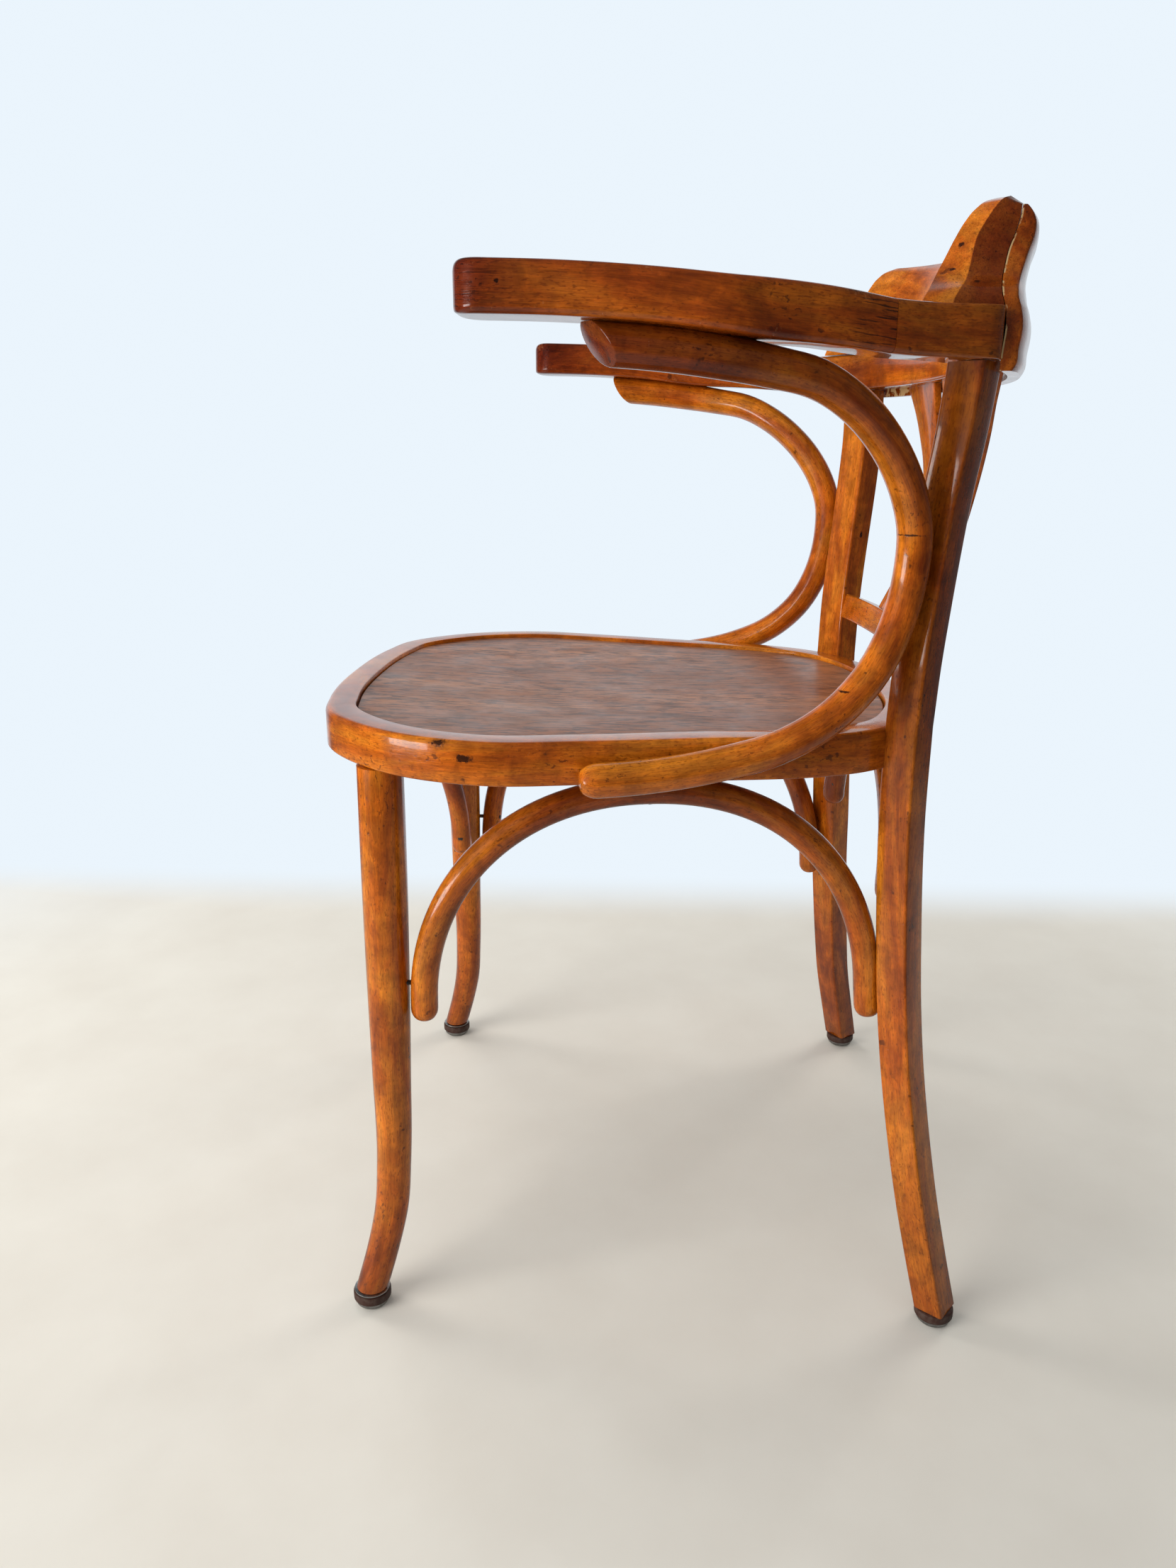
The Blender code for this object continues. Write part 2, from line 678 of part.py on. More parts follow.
collar = turned([
    (nail_gap, COLLAR_HEIGHT), (COLLAR_RADIUS, COLLAR_HEIGHT), (COLLAR_RADIUS, 0.0),
    (nail_gap, 0.0), (nail_gap, COLLAR_HEIGHT),
], 12)
nail_hole = turned([
    (0.0, SOLE_HEIGHT + NAIL_LENGTH + TOUCH), (nail_gap, SOLE_HEIGHT + NAIL_LENGTH + TOUCH),
    (nail_gap, SOLE_HEIGHT), (0.0, SOLE_HEIGHT),
], SCREW_SIDES)

FOOT_LABELS = ("front_left", "front_right", "rear_left", "rear_right")
feet = both_sides((*FRONT_FOOT, 0.0)) + both_sides((*REAR_FOOT, 0.0))
cup_level = Matrix.Translation((0.0, 0.0, SOLE_HEIGHT + TOUCH))
collar_level = Matrix.Translation((0.0, 0.0, glide_top + TOUCH))
copies("glide_sole", FOOT_LABELS, sole, [upright(foot) for foot in feet], GLIDE_STEEL)
copies("glide_cup", FOOT_LABELS, cup, [cup_level @ upright(foot) for foot in feet], BROWN_PLASTIC)
copies("glide_collar", FOOT_LABELS, collar, [collar_level @ upright(foot) for foot in feet[:2]], GLIDE_STEEL)
nail_holes = cutter_group("nail_holes", nail_hole, [upright(foot) for foot in feet])
for leg in front_legs + posts:
    cut(leg, nail_holes)

# Yoke

def seam_y(x):
    """Place of the plain seam arc behind the chair's middle line."""
    return SEAM_CENTRE + math.sqrt(SEAM_RADIUS**2 - x**2)


def yoke_section(outer, inner, top, bottom, outer_edge, inner_edge):
    """Section of the yoke between its outer and inner edge, with rounded edges."""
    outer = np.array(outer)
    inner = np.array(inner)
    inward = (inner - outer) / np.linalg.norm(inner - outer)
    ring = []

    def add(from_edge, edge_inward_shift, level):
        place = from_edge + inward * edge_inward_shift
        ring.append((place[0], place[1], level))

    easing = 0.29
    add(outer, outer_edge, bottom)
    add(outer, outer_edge * easing, bottom + outer_edge * easing)
    add(outer, 0.0, bottom + outer_edge)
    add(outer, 0.0, top - outer_edge)
    add(outer, outer_edge * easing, top - outer_edge * easing)
    add(outer, outer_edge, top)
    add(inner, -inner_edge, top)
    add(inner, -inner_edge * easing, top - inner_edge * easing)
    add(inner, 0.0, top - inner_edge)
    add(inner, 0.0, bottom + inner_edge)
    add(inner, -inner_edge * easing, bottom + inner_edge * easing)
    add(inner, -inner_edge, bottom)
    return ring


yoke_top = YOKE_UNDERSIDE + YOKE_THICKNESS


def arm_row(y):
    """Outer edge, inner edge, top and underside of the left arm at a station."""
    first = ARM_STATIONS[0]
    if y >= first[0]:
        row = smooth(ARM_STATIONS, y)
    else:
        share = (first[0] - y) / (first[0] - ARM_FRONT)
        rise = first[5] + (ARM_TIP_RISE - first[5]) * share
        under = first[6] + (ARM_TIP_UNDERSIDE_RISE - first[6]) * share
        row = (first[1], y, first[3], y, rise, under)
    return row[0:2], row[2:4], yoke_top + row[4], YOKE_UNDERSIDE + row[5]


def arm_underside(y):
    """Height of the arm's underside at a station."""
    return arm_row(y)[3]


joint_station = ARM_STATIONS[-1][0]


def arm_rings():
    """Sections of the left arm from its rounded front end to the joint."""
    rings = []
    for turn in ARM_END_TURNS:
        angle = math.radians(turn)
        y = ARM_FRONT + ARM_END_ROUNDING * (1.0 - math.cos(angle))
        draw_in = 1.0 - math.sin(angle)
        pull = ARM_END_ROUNDING * draw_in
        outer, inner, top, bottom = arm_row(y)
        edge = ARM_EDGE * (1.0 - draw_in / 2)
        rings.append(yoke_section((outer[0] - pull, y), (inner[0] + pull, y),
                                  top - ARM_END_TOP_DROP * draw_in**2,
                                  bottom + ARM_END_UNDERSIDE_DROP * draw_in**2, edge, edge))
    for y in np.linspace(ARM_FRONT + ARM_END_ROUNDING, joint_station - TOUCH, ARM_STEPS):
        outer, inner, top, bottom = arm_row(y)
        rings.append(yoke_section(outer, inner, top, bottom, ARM_EDGE, ARM_EDGE))
    return rings


left_arm = arm_rings()
arms = [
    loft("arm_left", left_arm, ARM_BEECH),
    loft("arm_right", [mirrored(ring) for ring in left_arm], ARM_BEECH),
]


def rail_rings():
    """Sections of the back rail from the left joint to the middle."""
    outer, inner, top, bottom = arm_row(joint_station)
    rings = [yoke_section(outer, inner, top, bottom, ARM_EDGE, ARM_EDGE)]
    (ax, ay, bx, by), (cx, cy, dx, dy) = CORNER_STATIONS
    rings.append(yoke_section((ax, ay), (bx, by), yoke_top, YOKE_UNDERSIDE, 0.004, 0.004))
    rings.append(yoke_section((cx + 0.0015, cy - 0.002), (dx, dy), yoke_top, YOKE_UNDERSIDE,
                              SEAM_EDGE, RAIL_EDGE))
    end_inner = (0.176, 0.1815)
    rings.append(yoke_section((SEAM_END, seam_y(SEAM_END)), end_inner, yoke_top, YOKE_UNDERSIDE,
                              SEAM_EDGE, RAIL_EDGE))
    for x in reversed(SEAM_X):
        front = (x, RAIL_FRONT - RAIL_FRONT_BOW * x**2)
        rings.append(yoke_section((x, seam_y(x)), front, yoke_top, YOKE_UNDERSIDE,
                                  SEAM_EDGE, RAIL_EDGE))
    return rings


left_rail = rail_rings()
right_rail = [mirrored(ring) for ring in left_rail[:-1]][::-1]
back_rail = loft("back_rail", left_rail + right_rail, AMBER_BEECH)

# Crest block and back board

def seam_line(half_length, height):
    """Points of the seam at a height above the yoke's underside, from left to right."""
    wave = float(np.interp(height, [row[0] for row in SEAM_WAVE], [row[1] for row in SEAM_WAVE]))
    left = [half_length] + [x for x in reversed(SEAM_X)]
    places = left + [-x for x in reversed(left[:-1])]
    return [(x, seam_y(x) + wave) for x in places]


def crest_fall(height):
    """How far the crest block's rear face lies below its front at a height above the yoke."""
    return CREST_FALL * max(height - CREST_FALL_START, 0.0) / (CREST_SLICES[-1][0] - CREST_FALL_START)


def dipped(x, height):
    """Height above the yoke once the crest's dip in the middle is taken off."""
    return height - CREST_DIP * height / CREST_SLICES[-1][0] * (1.0 - (x / SEAM_END)**2)


def crest_ring(row):
    """One slice through the crest block."""
    height, half_length, corner_x, corner_y, band_y, middle_y = row
    half_length = min(half_length, SEAM_END)
    fall = crest_fall(height)
    front = []
    for share in CREST_FRONT_SHARES:
        x = corner_x * share
        front.append((x, middle_y - (middle_y - corner_y) * share**CREST_FRONT_POWER))
    band_height = height - CREST_BAND_FALL_SHARE * fall
    left = [(half_length, band_y, band_height), (corner_x, corner_y, height)]
    left += [(x, y, height) for x, y in front]
    seam = seam_line(half_length, height - fall + YOKE_THICKNESS)[::-1]
    plan = left + mirrored(left[:-1])[::-1] + [(x, y, height - fall) for x, y in seam]
    return [(x, y, yoke_top + TOUCH + dipped(x, level)) for x, y, level in plan]


crest_block = loft("crest_block", [crest_ring(row) for row in CREST_SLICES], AMBER_BEECH)


def board_ring(height, half_length, thickness):
    """One slice through the back board."""
    above = max(height - YOKE_THICKNESS, 0.0)
    half_length = min(half_length, SEAM_END)
    seam = seam_line(half_length, max(height, 0.0))
    front = [(x, y + SEAM_GAP) for x, y in seam]
    rear = [(x + thickness * BOARD_FLARE * x / SEAM_RADIUS, y + thickness) for x, y in seam]
    rear[0] = (half_length, rear[0][1])
    rear[-1] = (-half_length, rear[-1][1])
    level = YOKE_UNDERSIDE + height - above + (TOUCH if height >= YOKE_THICKNESS else 0.0)
    return [(x, y, level + dipped(x, above)) for x, y in front + rear[::-1]]


board_slices = [(height, SEAM_END, thickness) for height, thickness in BOARD_LOW_SLICES]
board_slices += [(row[0] - crest_fall(row[0]) + YOKE_THICKNESS, row[1], thickness)
                 for row, thickness in zip(CREST_SLICES, BOARD_THICKNESSES)]
back_board = loft("back_board", [board_ring(*board_slice) for board_slice in board_slices], ARM_BEECH)

# Lower cross rail and slats

cross_rail_height = seat_top(CROSS_RAIL_FRONT) + CROSS_RAIL_OVER_SEAT + CROSS_RAIL_TALL / 2
cross_end = post_at(cross_rail_height)[0]


def cross_rail_front(x):
    """Front of the cross rail at mid height."""
    middle = CROSS_RAIL_FRONT + math.tan(CROSS_RAIL_LEAN) * CROSS_RAIL_TALL / 2
    return middle - CROSS_RAIL_SAG * (x / cross_end)**2


def cross_rail_ring(x):
    """Leaning section of the cross rail."""
    ring = []
    middle = cross_rail_front(x) + CROSS_RAIL_DEPTH / 2
    for across, up in rounded_section(CROSS_RAIL_DEPTH / 2, CROSS_RAIL_TALL / 2, 0.0015):
        y = middle + across * math.cos(CROSS_RAIL_LEAN) + up * math.sin(CROSS_RAIL_LEAN)
        z = cross_rail_height + up * math.cos(CROSS_RAIL_LEAN) - across * math.sin(CROSS_RAIL_LEAN)
        ring.append((x, y, z))
    return ring


cross_stations = np.linspace(-cross_end, cross_end, CROSS_RAIL_STEPS)
lower_cross_rail = loft("lower_cross_rail", [cross_rail_ring(x) for x in cross_stations], AMBER_BEECH)
for space in post_cutters:
    cut(lower_cross_rail, space)

slat_bottom = cross_rail_height + CROSS_RAIL_TALL / 2 * math.cos(CROSS_RAIL_LEAN)


slat_top = YOKE_UNDERSIDE - TOUCH
lean_slope = math.tan(CROSS_RAIL_LEAN)


def slat_section(edges, share, lift=0.0, narrow=0.0, swell=0.0):
    """Section of a slat at a share of its height, and a lift above or below that."""
    inner, outer = smooth(edges, share)
    middle = (inner + outer) / 2
    half = (outer - inner) / 2 - narrow + swell
    rear = float(smooth(SLAT_REAR, share)[0])
    shift = lean_slope * lift if share == 0.0 else 0.0
    turn = SLAT_TURN * middle / SEAM_X[2]
    level = slat_bottom + (slat_top - slat_bottom) * share + lift
    ring = []
    for across, up in rounded_section(half, SLAT_THICKNESS / 2 + swell, SLAT_EDGE):
        y = rear - SLAT_THICKNESS / 2 + up + shift - turn * across
        ring.append((middle + across, y, level))
    return ring


def slat_rings(edges):
    """Sections of one slat, from its lower tenon to its upper one."""
    rings = [slat_section(edges, 0.0, -SLAT_TENON, SLAT_EDGE)]
    rings += [slat_section(edges, share) for share in (0.0,) + SLAT_SHARES + (1.0,)]
    rings.append(slat_section(edges, 1.0, WELD, SLAT_SHOULDER))
    rings.append(slat_section(edges, 1.0, SLAT_TENON, SLAT_SHOULDER))
    return rings


def slat_holes(number, edges):
    """Cutters for the slat's two mortises."""
    low = [slat_section(edges, 0.0, -SLAT_TENON - TOUCH, SLAT_EDGE, TOUCH),
           slat_section(edges, 0.0, 0.0, 0.0, TOUCH),
           slat_section(edges, SLAT_SHARES[0], 0.0, 0.0, TOUCH)]
    high = [slat_section(edges, 1.0, -SLAT_TENON / 2, SLAT_SHOULDER, TOUCH),
            slat_section(edges, 1.0, SLAT_TENON + TOUCH, SLAT_SHOULDER, TOUCH)]
    return loft(f"low_mortise_{number}", low), loft(f"high_mortise_{number}", high)


right_slat = [(share, -outer, -inner) for share, inner, outer in OUTER_SLAT]
for label, edges in (("left", OUTER_SLAT), ("centre", MIDDLE_SLAT), ("right", right_slat)):
    loft(f"back_slat_{label}", slat_rings(edges), AMBER_BEECH)
    low_mortise, high_mortise = slat_holes(label, edges)
    cut(lower_cross_rail, low_mortise)
    cut(back_rail, high_mortise)

# Arm bows

def bow_touch():
    """Middle of the left bow where it leans on the post."""
    height = post_seat_level + (post_top - post_seat_level) * BOW_TOUCH_SHARE
    width, _ = post_size(height)
    off = outward_front * (width / 2 + BOW_RADIUS + TOUCH) - outward_rear * BOW_TOUCH_SLIDE
    place = post_at(height) + off
    return (place[0], place[1], height)


def bow_route():
    """Middle line of the left bow from its low tip to its end under the arm."""
    points = []
    for y, rise in BOW_LOW_END:
        x = edge_x(y) + BOW_RADIUS + 2 * TOUCH + 0.0004
        points.append((x, y, seat_top(y) + rise))

    def free(x, y, share):
        return (x, y, post_seat_level + (post_top - post_seat_level) * share)

    points += [free(*row) for row in BOW_FREE_LOW]
    points.append(bow_touch())
    points += [free(*row) for row in BOW_FREE_HIGH]
    for x, y, drop in BOW_UNDER_ARM:
        points.append((x, y, arm_underside(y) - BOW_RADIUS - TOUCH - drop))
    return curve_through(points, BOW_STEPS)


bow_line = bow_route()
bow_reach = reaches(bow_line)
bow_keep = bow_reach > BOW_TIP_LENGTH
tip_shares = (0.0, 0.12, 0.35, 0.65, 1.0)
tip_points = [bow_line[0] + (bow_line[2] - bow_line[0]) * BOW_TIP_LENGTH * share
              / np.linalg.norm(bow_line[2] - bow_line[0]) for share in tip_shares]
tip_radii = [BOW_TIP_RADIUS + (BOW_RADIUS - BOW_TIP_RADIUS) * math.sin(share * math.pi / 2)**0.7
             for share in tip_shares]
bow_points = tip_points + list(bow_line[bow_keep][1:])
bow_radii = tip_radii + [BOW_RADIUS] * (len(bow_points) - len(tip_points))


mitre_places = [(BOW_MITRE_X, y, arm_underside(y) - BOW_RADIUS)
                for y in (BOW_MITRE_LEFT_Y, BOW_MITRE_RIGHT_Y)]
bows = [
    tube("arm_bow_left", bow_points, bow_radii, 10, AMBER_BEECH),
    tube("arm_bow_right", mirrored(bow_points), bow_radii, 10, AMBER_BEECH),
]
trim(bows[0], mitre_places[0], BOW_MITRE_NORMAL, 5 * BOW_RADIUS)
trim(bows[1], mirrored(mitre_places)[1], mirrored([BOW_MITRE_NORMAL])[0], 5 * BOW_RADIUS)

# Leg braces

def brace_line(start, end, top_lean, lean_power, foot_start, foot_end, spring, top_z):
    """Arch that follows one leg up and the other down. The lean moves its top sideways."""
    points = [(*start(foot_start), foot_start)]
    points.append((*start(foot_start + BRACE_TIP_LENGTH), foot_start + BRACE_TIP_LENGTH))
    for step in range(BRACE_STEPS + 1):
        angle = math.pi * step / BRACE_STEPS
        swing = math.cos(angle)
        along = math.copysign(abs(swing)**(2 / BRACE_POWER), swing)
        rise = math.sin(angle)**(2 / BRACE_POWER)
        level = spring + (top_z - spring) * rise
        near = start(level)
        far = end(level)
        place = near + (far - near) * (1.0 - along) / 2 + np.array(top_lean) * rise**lean_power
        points.append((*place, level))
    points.append((*end(foot_end + BRACE_TIP_LENGTH), foot_end + BRACE_TIP_LENGTH))
    points.append((*end(foot_end), foot_end))
    radii = [BRACE_TIP_RADIUS] + [BRACE_RADIUS] * (len(points) - 2) + [BRACE_TIP_RADIUS]
    return points, radii


def brace_top(y):
    """Height of a brace's middle line where it meets the seat frame."""
    return frame_underside(y) - BRACE_RADIUS - 2 * TOUCH


brace_gap = BRACE_RADIUS + BRACE_CLEARANCE


def side_front(level):
    """Middle of the side brace behind the front leg."""
    x, y, diameter = front_leg_at(level)
    return np.array([x + SIDE_BRACE_OUTSET, y + diameter / 2 + brace_gap])


def side_rear(level):
    """Middle of the side brace in front of the rear leg."""
    _, depth = post_size(level)
    return post_at(level) - outward_rear * (depth / 2 + brace_gap) + outward_front * SIDE_BRACE_SHIFT


def front_inner(level):
    """Middle of the front brace beside the left front leg."""
    x, y, diameter = front_leg_at(level)
    return np.array([x - diameter / 2 - brace_gap, y])


def rear_inner(level):
    """Middle of the rear brace beside the left rear leg's inner corner."""
    width, depth = post_size(level)
    corner = post_at(level) - outward_front * width / 2 - outward_rear * depth / 2
    return np.array([corner[0] - brace_gap + POST_EDGE / 2, corner[1] + REAR_BRACE_SHIFT])


def other_side(place_at):
    """The same place on the right side of the chair."""
    return lambda level: place_at(level) * np.array([-1.0, 1.0])


side_middle_y = (side_front(SIDE_BRACE_SCREW)[1] + side_rear(SIDE_BRACE_SCREW)[1]) / 2
side_top = brace_top(side_middle_y)
side_lean = edge_x(side_middle_y, FRAME_LEDGE / 2) - (side_front(side_top)[0] + side_rear(side_top)[0]) / 2
side_route, side_radii = brace_line(side_front, side_rear, (side_lean, 0.0), 1, SIDE_BRACE_FRONT_FOOT,
                                    SIDE_BRACE_REAR_FOOT, SIDE_BRACE_SPRING, side_top)

front_top_y = edge_y(True, FRAME_LEDGE / 2)
front_top = brace_top(front_top_y)
front_lean = front_top_y - front_inner(front_top)[1]
front_route, front_radii = brace_line(front_inner, other_side(front_inner), (0.0, front_lean), 2,
                                      FRONT_BRACE_FOOT, FRONT_BRACE_FOOT, FRONT_BRACE_SPRING, front_top)

rear_top_y = edge_y(False, FRAME_LEDGE / 2)
rear_top = brace_top(rear_top_y)
rear_lean = rear_top_y - rear_inner(rear_top)[1]
rear_route, rear_radii = brace_line(rear_inner, other_side(rear_inner), (0.0, rear_lean), 1,
                                    REAR_BRACE_FOOT, REAR_BRACE_FOOT, REAR_BRACE_SPRING, rear_top)

side_braces = [
    tube("side_brace_left", side_route, side_radii, 8, AMBER_BEECH),
    tube("side_brace_right", mirrored(side_route), side_radii, 8, AMBER_BEECH),
]
front_brace = tube("front_brace", front_route, front_radii, 8, AMBER_BEECH)
rear_brace = tube("rear_brace", rear_route, rear_radii, 8, AMBER_BEECH)

# Screws and dowels

def screw_meshes(radius, head_radius, length):
    """Screw with a domed head, and the hole with a pocket that it needs."""
    screw = turned([
        (0.0, SCREW_HEAD_DOME), (head_radius * 0.7, SCREW_HEAD_DOME * 0.75), (head_radius, 0.0),
        (radius, 0.0), (radius, -length + 2 * radius), (0.0, -length),
    ], SCREW_SIDES)
    hole = turned([
        (0.0, POCKET_DEPTH), (head_radius + TOUCH, POCKET_DEPTH), (head_radius + TOUCH, -TOUCH),
        (radius + TOUCH, -TOUCH), (radius + TOUCH, -length - TOUCH), (0.0, -length - TOUCH),
    ], SCREW_SIDES)
    return screw, hole


def fasten(name, labels, meshes, places, pieces, style=SCREW_STEEL):
    """Set fasteners at places, and cut their holes in the pieces that they join."""
    fastener, hole = meshes
    copies(name, labels, fastener, places, style)
    holes = cutter_group(name + "_holes", hole, places)
    for piece in pieces:
        cut(piece, holes)


def both_driven(place, direction):
    """A screw's placement and its mirror image."""
    x, y, z = direction
    return [driven(place, (x, y, z)), driven(mirrored([place])[0], (-x, y, z))]


def brace_screw(place_at, level, direction):
    """Placement pair of a screw that goes through a brace into a leg."""
    towards = np.array([direction[0], direction[1], 0.0])
    towards /= np.linalg.norm(towards)
    head = np.array([*place_at(level), level]) - towards * (BRACE_RADIUS - HEAD_SINK)
    return both_driven(head, towards)


brace_places = brace_screw(side_front, SIDE_BRACE_SCREW, (0.0, -1.0))
brace_places += brace_screw(side_rear, SIDE_BRACE_SCREW, outward_rear)
brace_places += brace_screw(front_inner, FRONT_BRACE_SCREW, (1.0, 0.0))
brace_places += brace_screw(rear_inner, REAR_BRACE_SCREW, outward_front + outward_rear)
braces = side_braces + [front_brace, rear_brace]
brace_screws = screw_meshes(SCREW_RADIUS, SCREW_HEAD_RADIUS, BRACE_SCREW_LENGTH)
SIDES = ("left", "right")
fasten("brace_leg_screw", range(1, 9), brace_screws, brace_places, braces + front_legs + posts)

arch_tops = [side_route[len(side_route) // 2], front_route[len(front_route) // 2],
             rear_route[len(rear_route) // 2]]
seat_screw_heads = both_sides(arch_tops[0]) + arch_tops[1:]
seat_screw_places = [driven((x, y, z - BRACE_RADIUS + HEAD_SINK), (0.0, 0.0, 1.0))
                     for x, y, z in seat_screw_heads]
fasten("brace_seat_screw", SIDES + ("front", "rear"), brace_screws, seat_screw_places, braces + [seat_ring])

touch_x, touch_y, touch_z = bow_touch()
touch_post = post_at(touch_z)
touch_width, _ = post_size(touch_z)
bow_post_head = touch_post - outward_front * (touch_width / 2 - 2 * HEAD_SINK) - outward_rear * BOW_TOUCH_SLIDE
fasten("bow_post_screw", SIDES, screw_meshes(SCREW_RADIUS, SCREW_HEAD_RADIUS, BOW_POST_SCREW_LENGTH),
       both_driven((*bow_post_head, touch_z), (*outward_front, 0.0)), posts + bows)

arm_screw_x, arm_screw_y, _ = BOW_UNDER_ARM[2]
arm_screw_z = arm_underside(arm_screw_y) - 2 * BOW_RADIUS + HEAD_SINK
fasten("bow_arm_screw", SIDES, screw_meshes(SCREW_RADIUS, SCREW_HEAD_RADIUS, BOW_SCREW_LENGTH),
       both_driven((arm_screw_x, arm_screw_y, arm_screw_z), (0.0, 0.0, 1.0)), bows + arms)

seat_screw_y = BOW_LOW_END[1][0] - BOW_SEAT_SCREW_SHIFT
seat_screw_z = seat_top(seat_screw_y) + BOW_LOW_END[1][1]
seat_screw_x = edge_x(seat_screw_y, FRAME_LEDGE) + 2 * HEAD_SINK
fasten("bow_seat_screw", SIDES, screw_meshes(SCREW_RADIUS, SCREW_HEAD_RADIUS, BOW_SEAT_SCREW_LENGTH),
       both_driven((seat_screw_x, seat_screw_y, seat_screw_z), (1.0, 0.0, 0.0)), [seat_ring] + bows)

lag_level = frame_underside(POST_ABOVE[0][2]) + FRAME_THICKNESS * 0.38
lag_head = post_at(lag_level) - outward_rear * (POST_DEPTH / 2 + FRAME_LEDGE - 4 * HEAD_SINK)
fasten("post_seat_screw", SIDES, screw_meshes(LAG_RADIUS, LAG_HEAD_RADIUS, LAG_LENGTH),
       both_driven((*lag_head, lag_level), (*outward_rear, 0.0)), [seat_ring] + posts)


def dowel_meshes(radius, length):
    """Dowel about its middle, and its hole."""
    half = length / 2
    dowel = turned([(0.0, half), (radius - 0.0005, half), (radius, half - 0.001),
                    (radius, -half + 0.001), (radius - 0.0005, -half), (0.0, -half)], SCREW_SIDES)
    hole = turned([(0.0, half + TOUCH), (radius + TOUCH, half + TOUCH),
                   (radius + TOUCH, -half - TOUCH), (0.0, -half - TOUCH)], SCREW_SIDES)
    return dowel, hole


dowels = dowel_meshes(DOWEL_RADIUS, DOWEL_LENGTH)
top_x, top_y = post_at(post_top - DOWEL_LENGTH / 4)
post_dowel_places = [upright(place) for place in both_sides((top_x, top_y, YOKE_UNDERSIDE))]
fasten("post_dowel", SIDES, dowels, post_dowel_places, posts + [back_rail], DOWEL_BEECH)

cross_x = cross_end - POST_WIDTH / 2 - 0.002
cross_y = cross_rail_front(cross_x) + CROSS_RAIL_DEPTH / 2
fasten("cross_rail_dowel", SIDES, dowels, both_driven((cross_x, cross_y, cross_rail_height), (1.0, 0.0, 0.0)),
       posts + [lower_cross_rail], DOWEL_BEECH)
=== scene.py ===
import math

import bmesh
import bpy
import numpy as np
from mathutils import Matrix, Vector


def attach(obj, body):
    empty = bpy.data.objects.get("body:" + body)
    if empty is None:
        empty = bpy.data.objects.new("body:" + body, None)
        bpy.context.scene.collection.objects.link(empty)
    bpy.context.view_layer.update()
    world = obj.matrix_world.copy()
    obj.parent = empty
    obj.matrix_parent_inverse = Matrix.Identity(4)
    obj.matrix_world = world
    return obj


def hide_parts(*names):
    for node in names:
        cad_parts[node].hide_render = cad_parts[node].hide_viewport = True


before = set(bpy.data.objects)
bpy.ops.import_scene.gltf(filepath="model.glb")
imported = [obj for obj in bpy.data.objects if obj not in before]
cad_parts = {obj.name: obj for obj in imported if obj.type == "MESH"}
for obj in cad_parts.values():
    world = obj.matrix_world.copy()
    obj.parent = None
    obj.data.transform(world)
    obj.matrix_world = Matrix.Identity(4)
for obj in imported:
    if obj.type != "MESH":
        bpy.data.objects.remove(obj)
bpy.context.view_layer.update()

# Seat frame: a square beech bar, steamed and bent to a rounded trapezium, and joined at the
# back. Its top edge is rounded, and a step inside carries the seat panel. It is finished in
# several coats of amber shellac, which have gone dark along the grain and in the corners.
HAIR_GAP = 0.0003
SEAT_HEIGHT = 0.4747
SEAT_FALL = 0.0175
FRAME_DEEP = 0.031
FRAME_RIM = 0.023
FRAME_LEDGE = 0.042
RIM_ROUND = 0.0045
INNER_EASE = 0.0008
BOTTOM_EASE = 0.002
PANEL_DROP = 0.0035
PANEL_THICK = 0.005
FRAME_HALF = (
    (0.0, -0.268), (0.110, -0.261), (0.155, -0.2515), (0.200, -0.220), (0.2275, -0.185),
    (0.2465, -0.120), (0.2365, -0.055), (0.2175, 0.027), (0.195, 0.120), (0.1805, 0.149),
    (0.158, 0.174), (0.110, 0.198), (0.0, 0.212),
)


def read_off(rows, at):
    """Columns of rows read on a smooth curve at a place along their first column."""
    rows = np.array(rows, dtype=float)
    key = rows[:, 0]
    values = rows[:, 1:]
    slopes = np.gradient(values, key, axis=0)
    i = int(np.clip(np.searchsorted(key, at) - 1, 0, len(key) - 2))
    span = key[i + 1] - key[i]
    t = (at - key[i]) / span
    start = (2 * t**3 - 3 * t**2 + 1) * values[i] + (t**3 - 2 * t**2 + t) * span * slopes[i]
    end = (3 * t**2 - 2 * t**3) * values[i + 1] + (t**3 - t**2) * span * slopes[i + 1]
    return start + end


def lengths_along(points):
    """Distance of each point along the line through all of them."""
    steps = np.linalg.norm(np.diff(points, axis=0), axis=1)
    return np.concatenate([[0.0], np.cumsum(steps)])


def spaced(points, count):
    """Evenly spaced points on the smooth open curve through the given ones."""
    points = np.array(points, dtype=float)
    rows = np.column_stack([lengths_along(points), points])
    return np.array([read_off(rows, at) for at in np.linspace(0.0, rows[-1, 0], count)])


def spaced_round(points, count):
    """Evenly spaced points on the smooth closed curve through the given ones."""
    points = np.array(points, dtype=float)
    lead = 3
    run = np.vstack([points[-lead:], points, points[:lead + 1]])
    rows = np.column_stack([lengths_along(run), run])
    ends = rows[lead, 0], rows[lead + len(points), 0]
    return np.array([read_off(rows, at) for at in np.linspace(*ends, count, endpoint=False)])


def flipped(points):
    """The same points on the other side of the chair."""
    return [(-point[0], *point[1:]) for point in points]


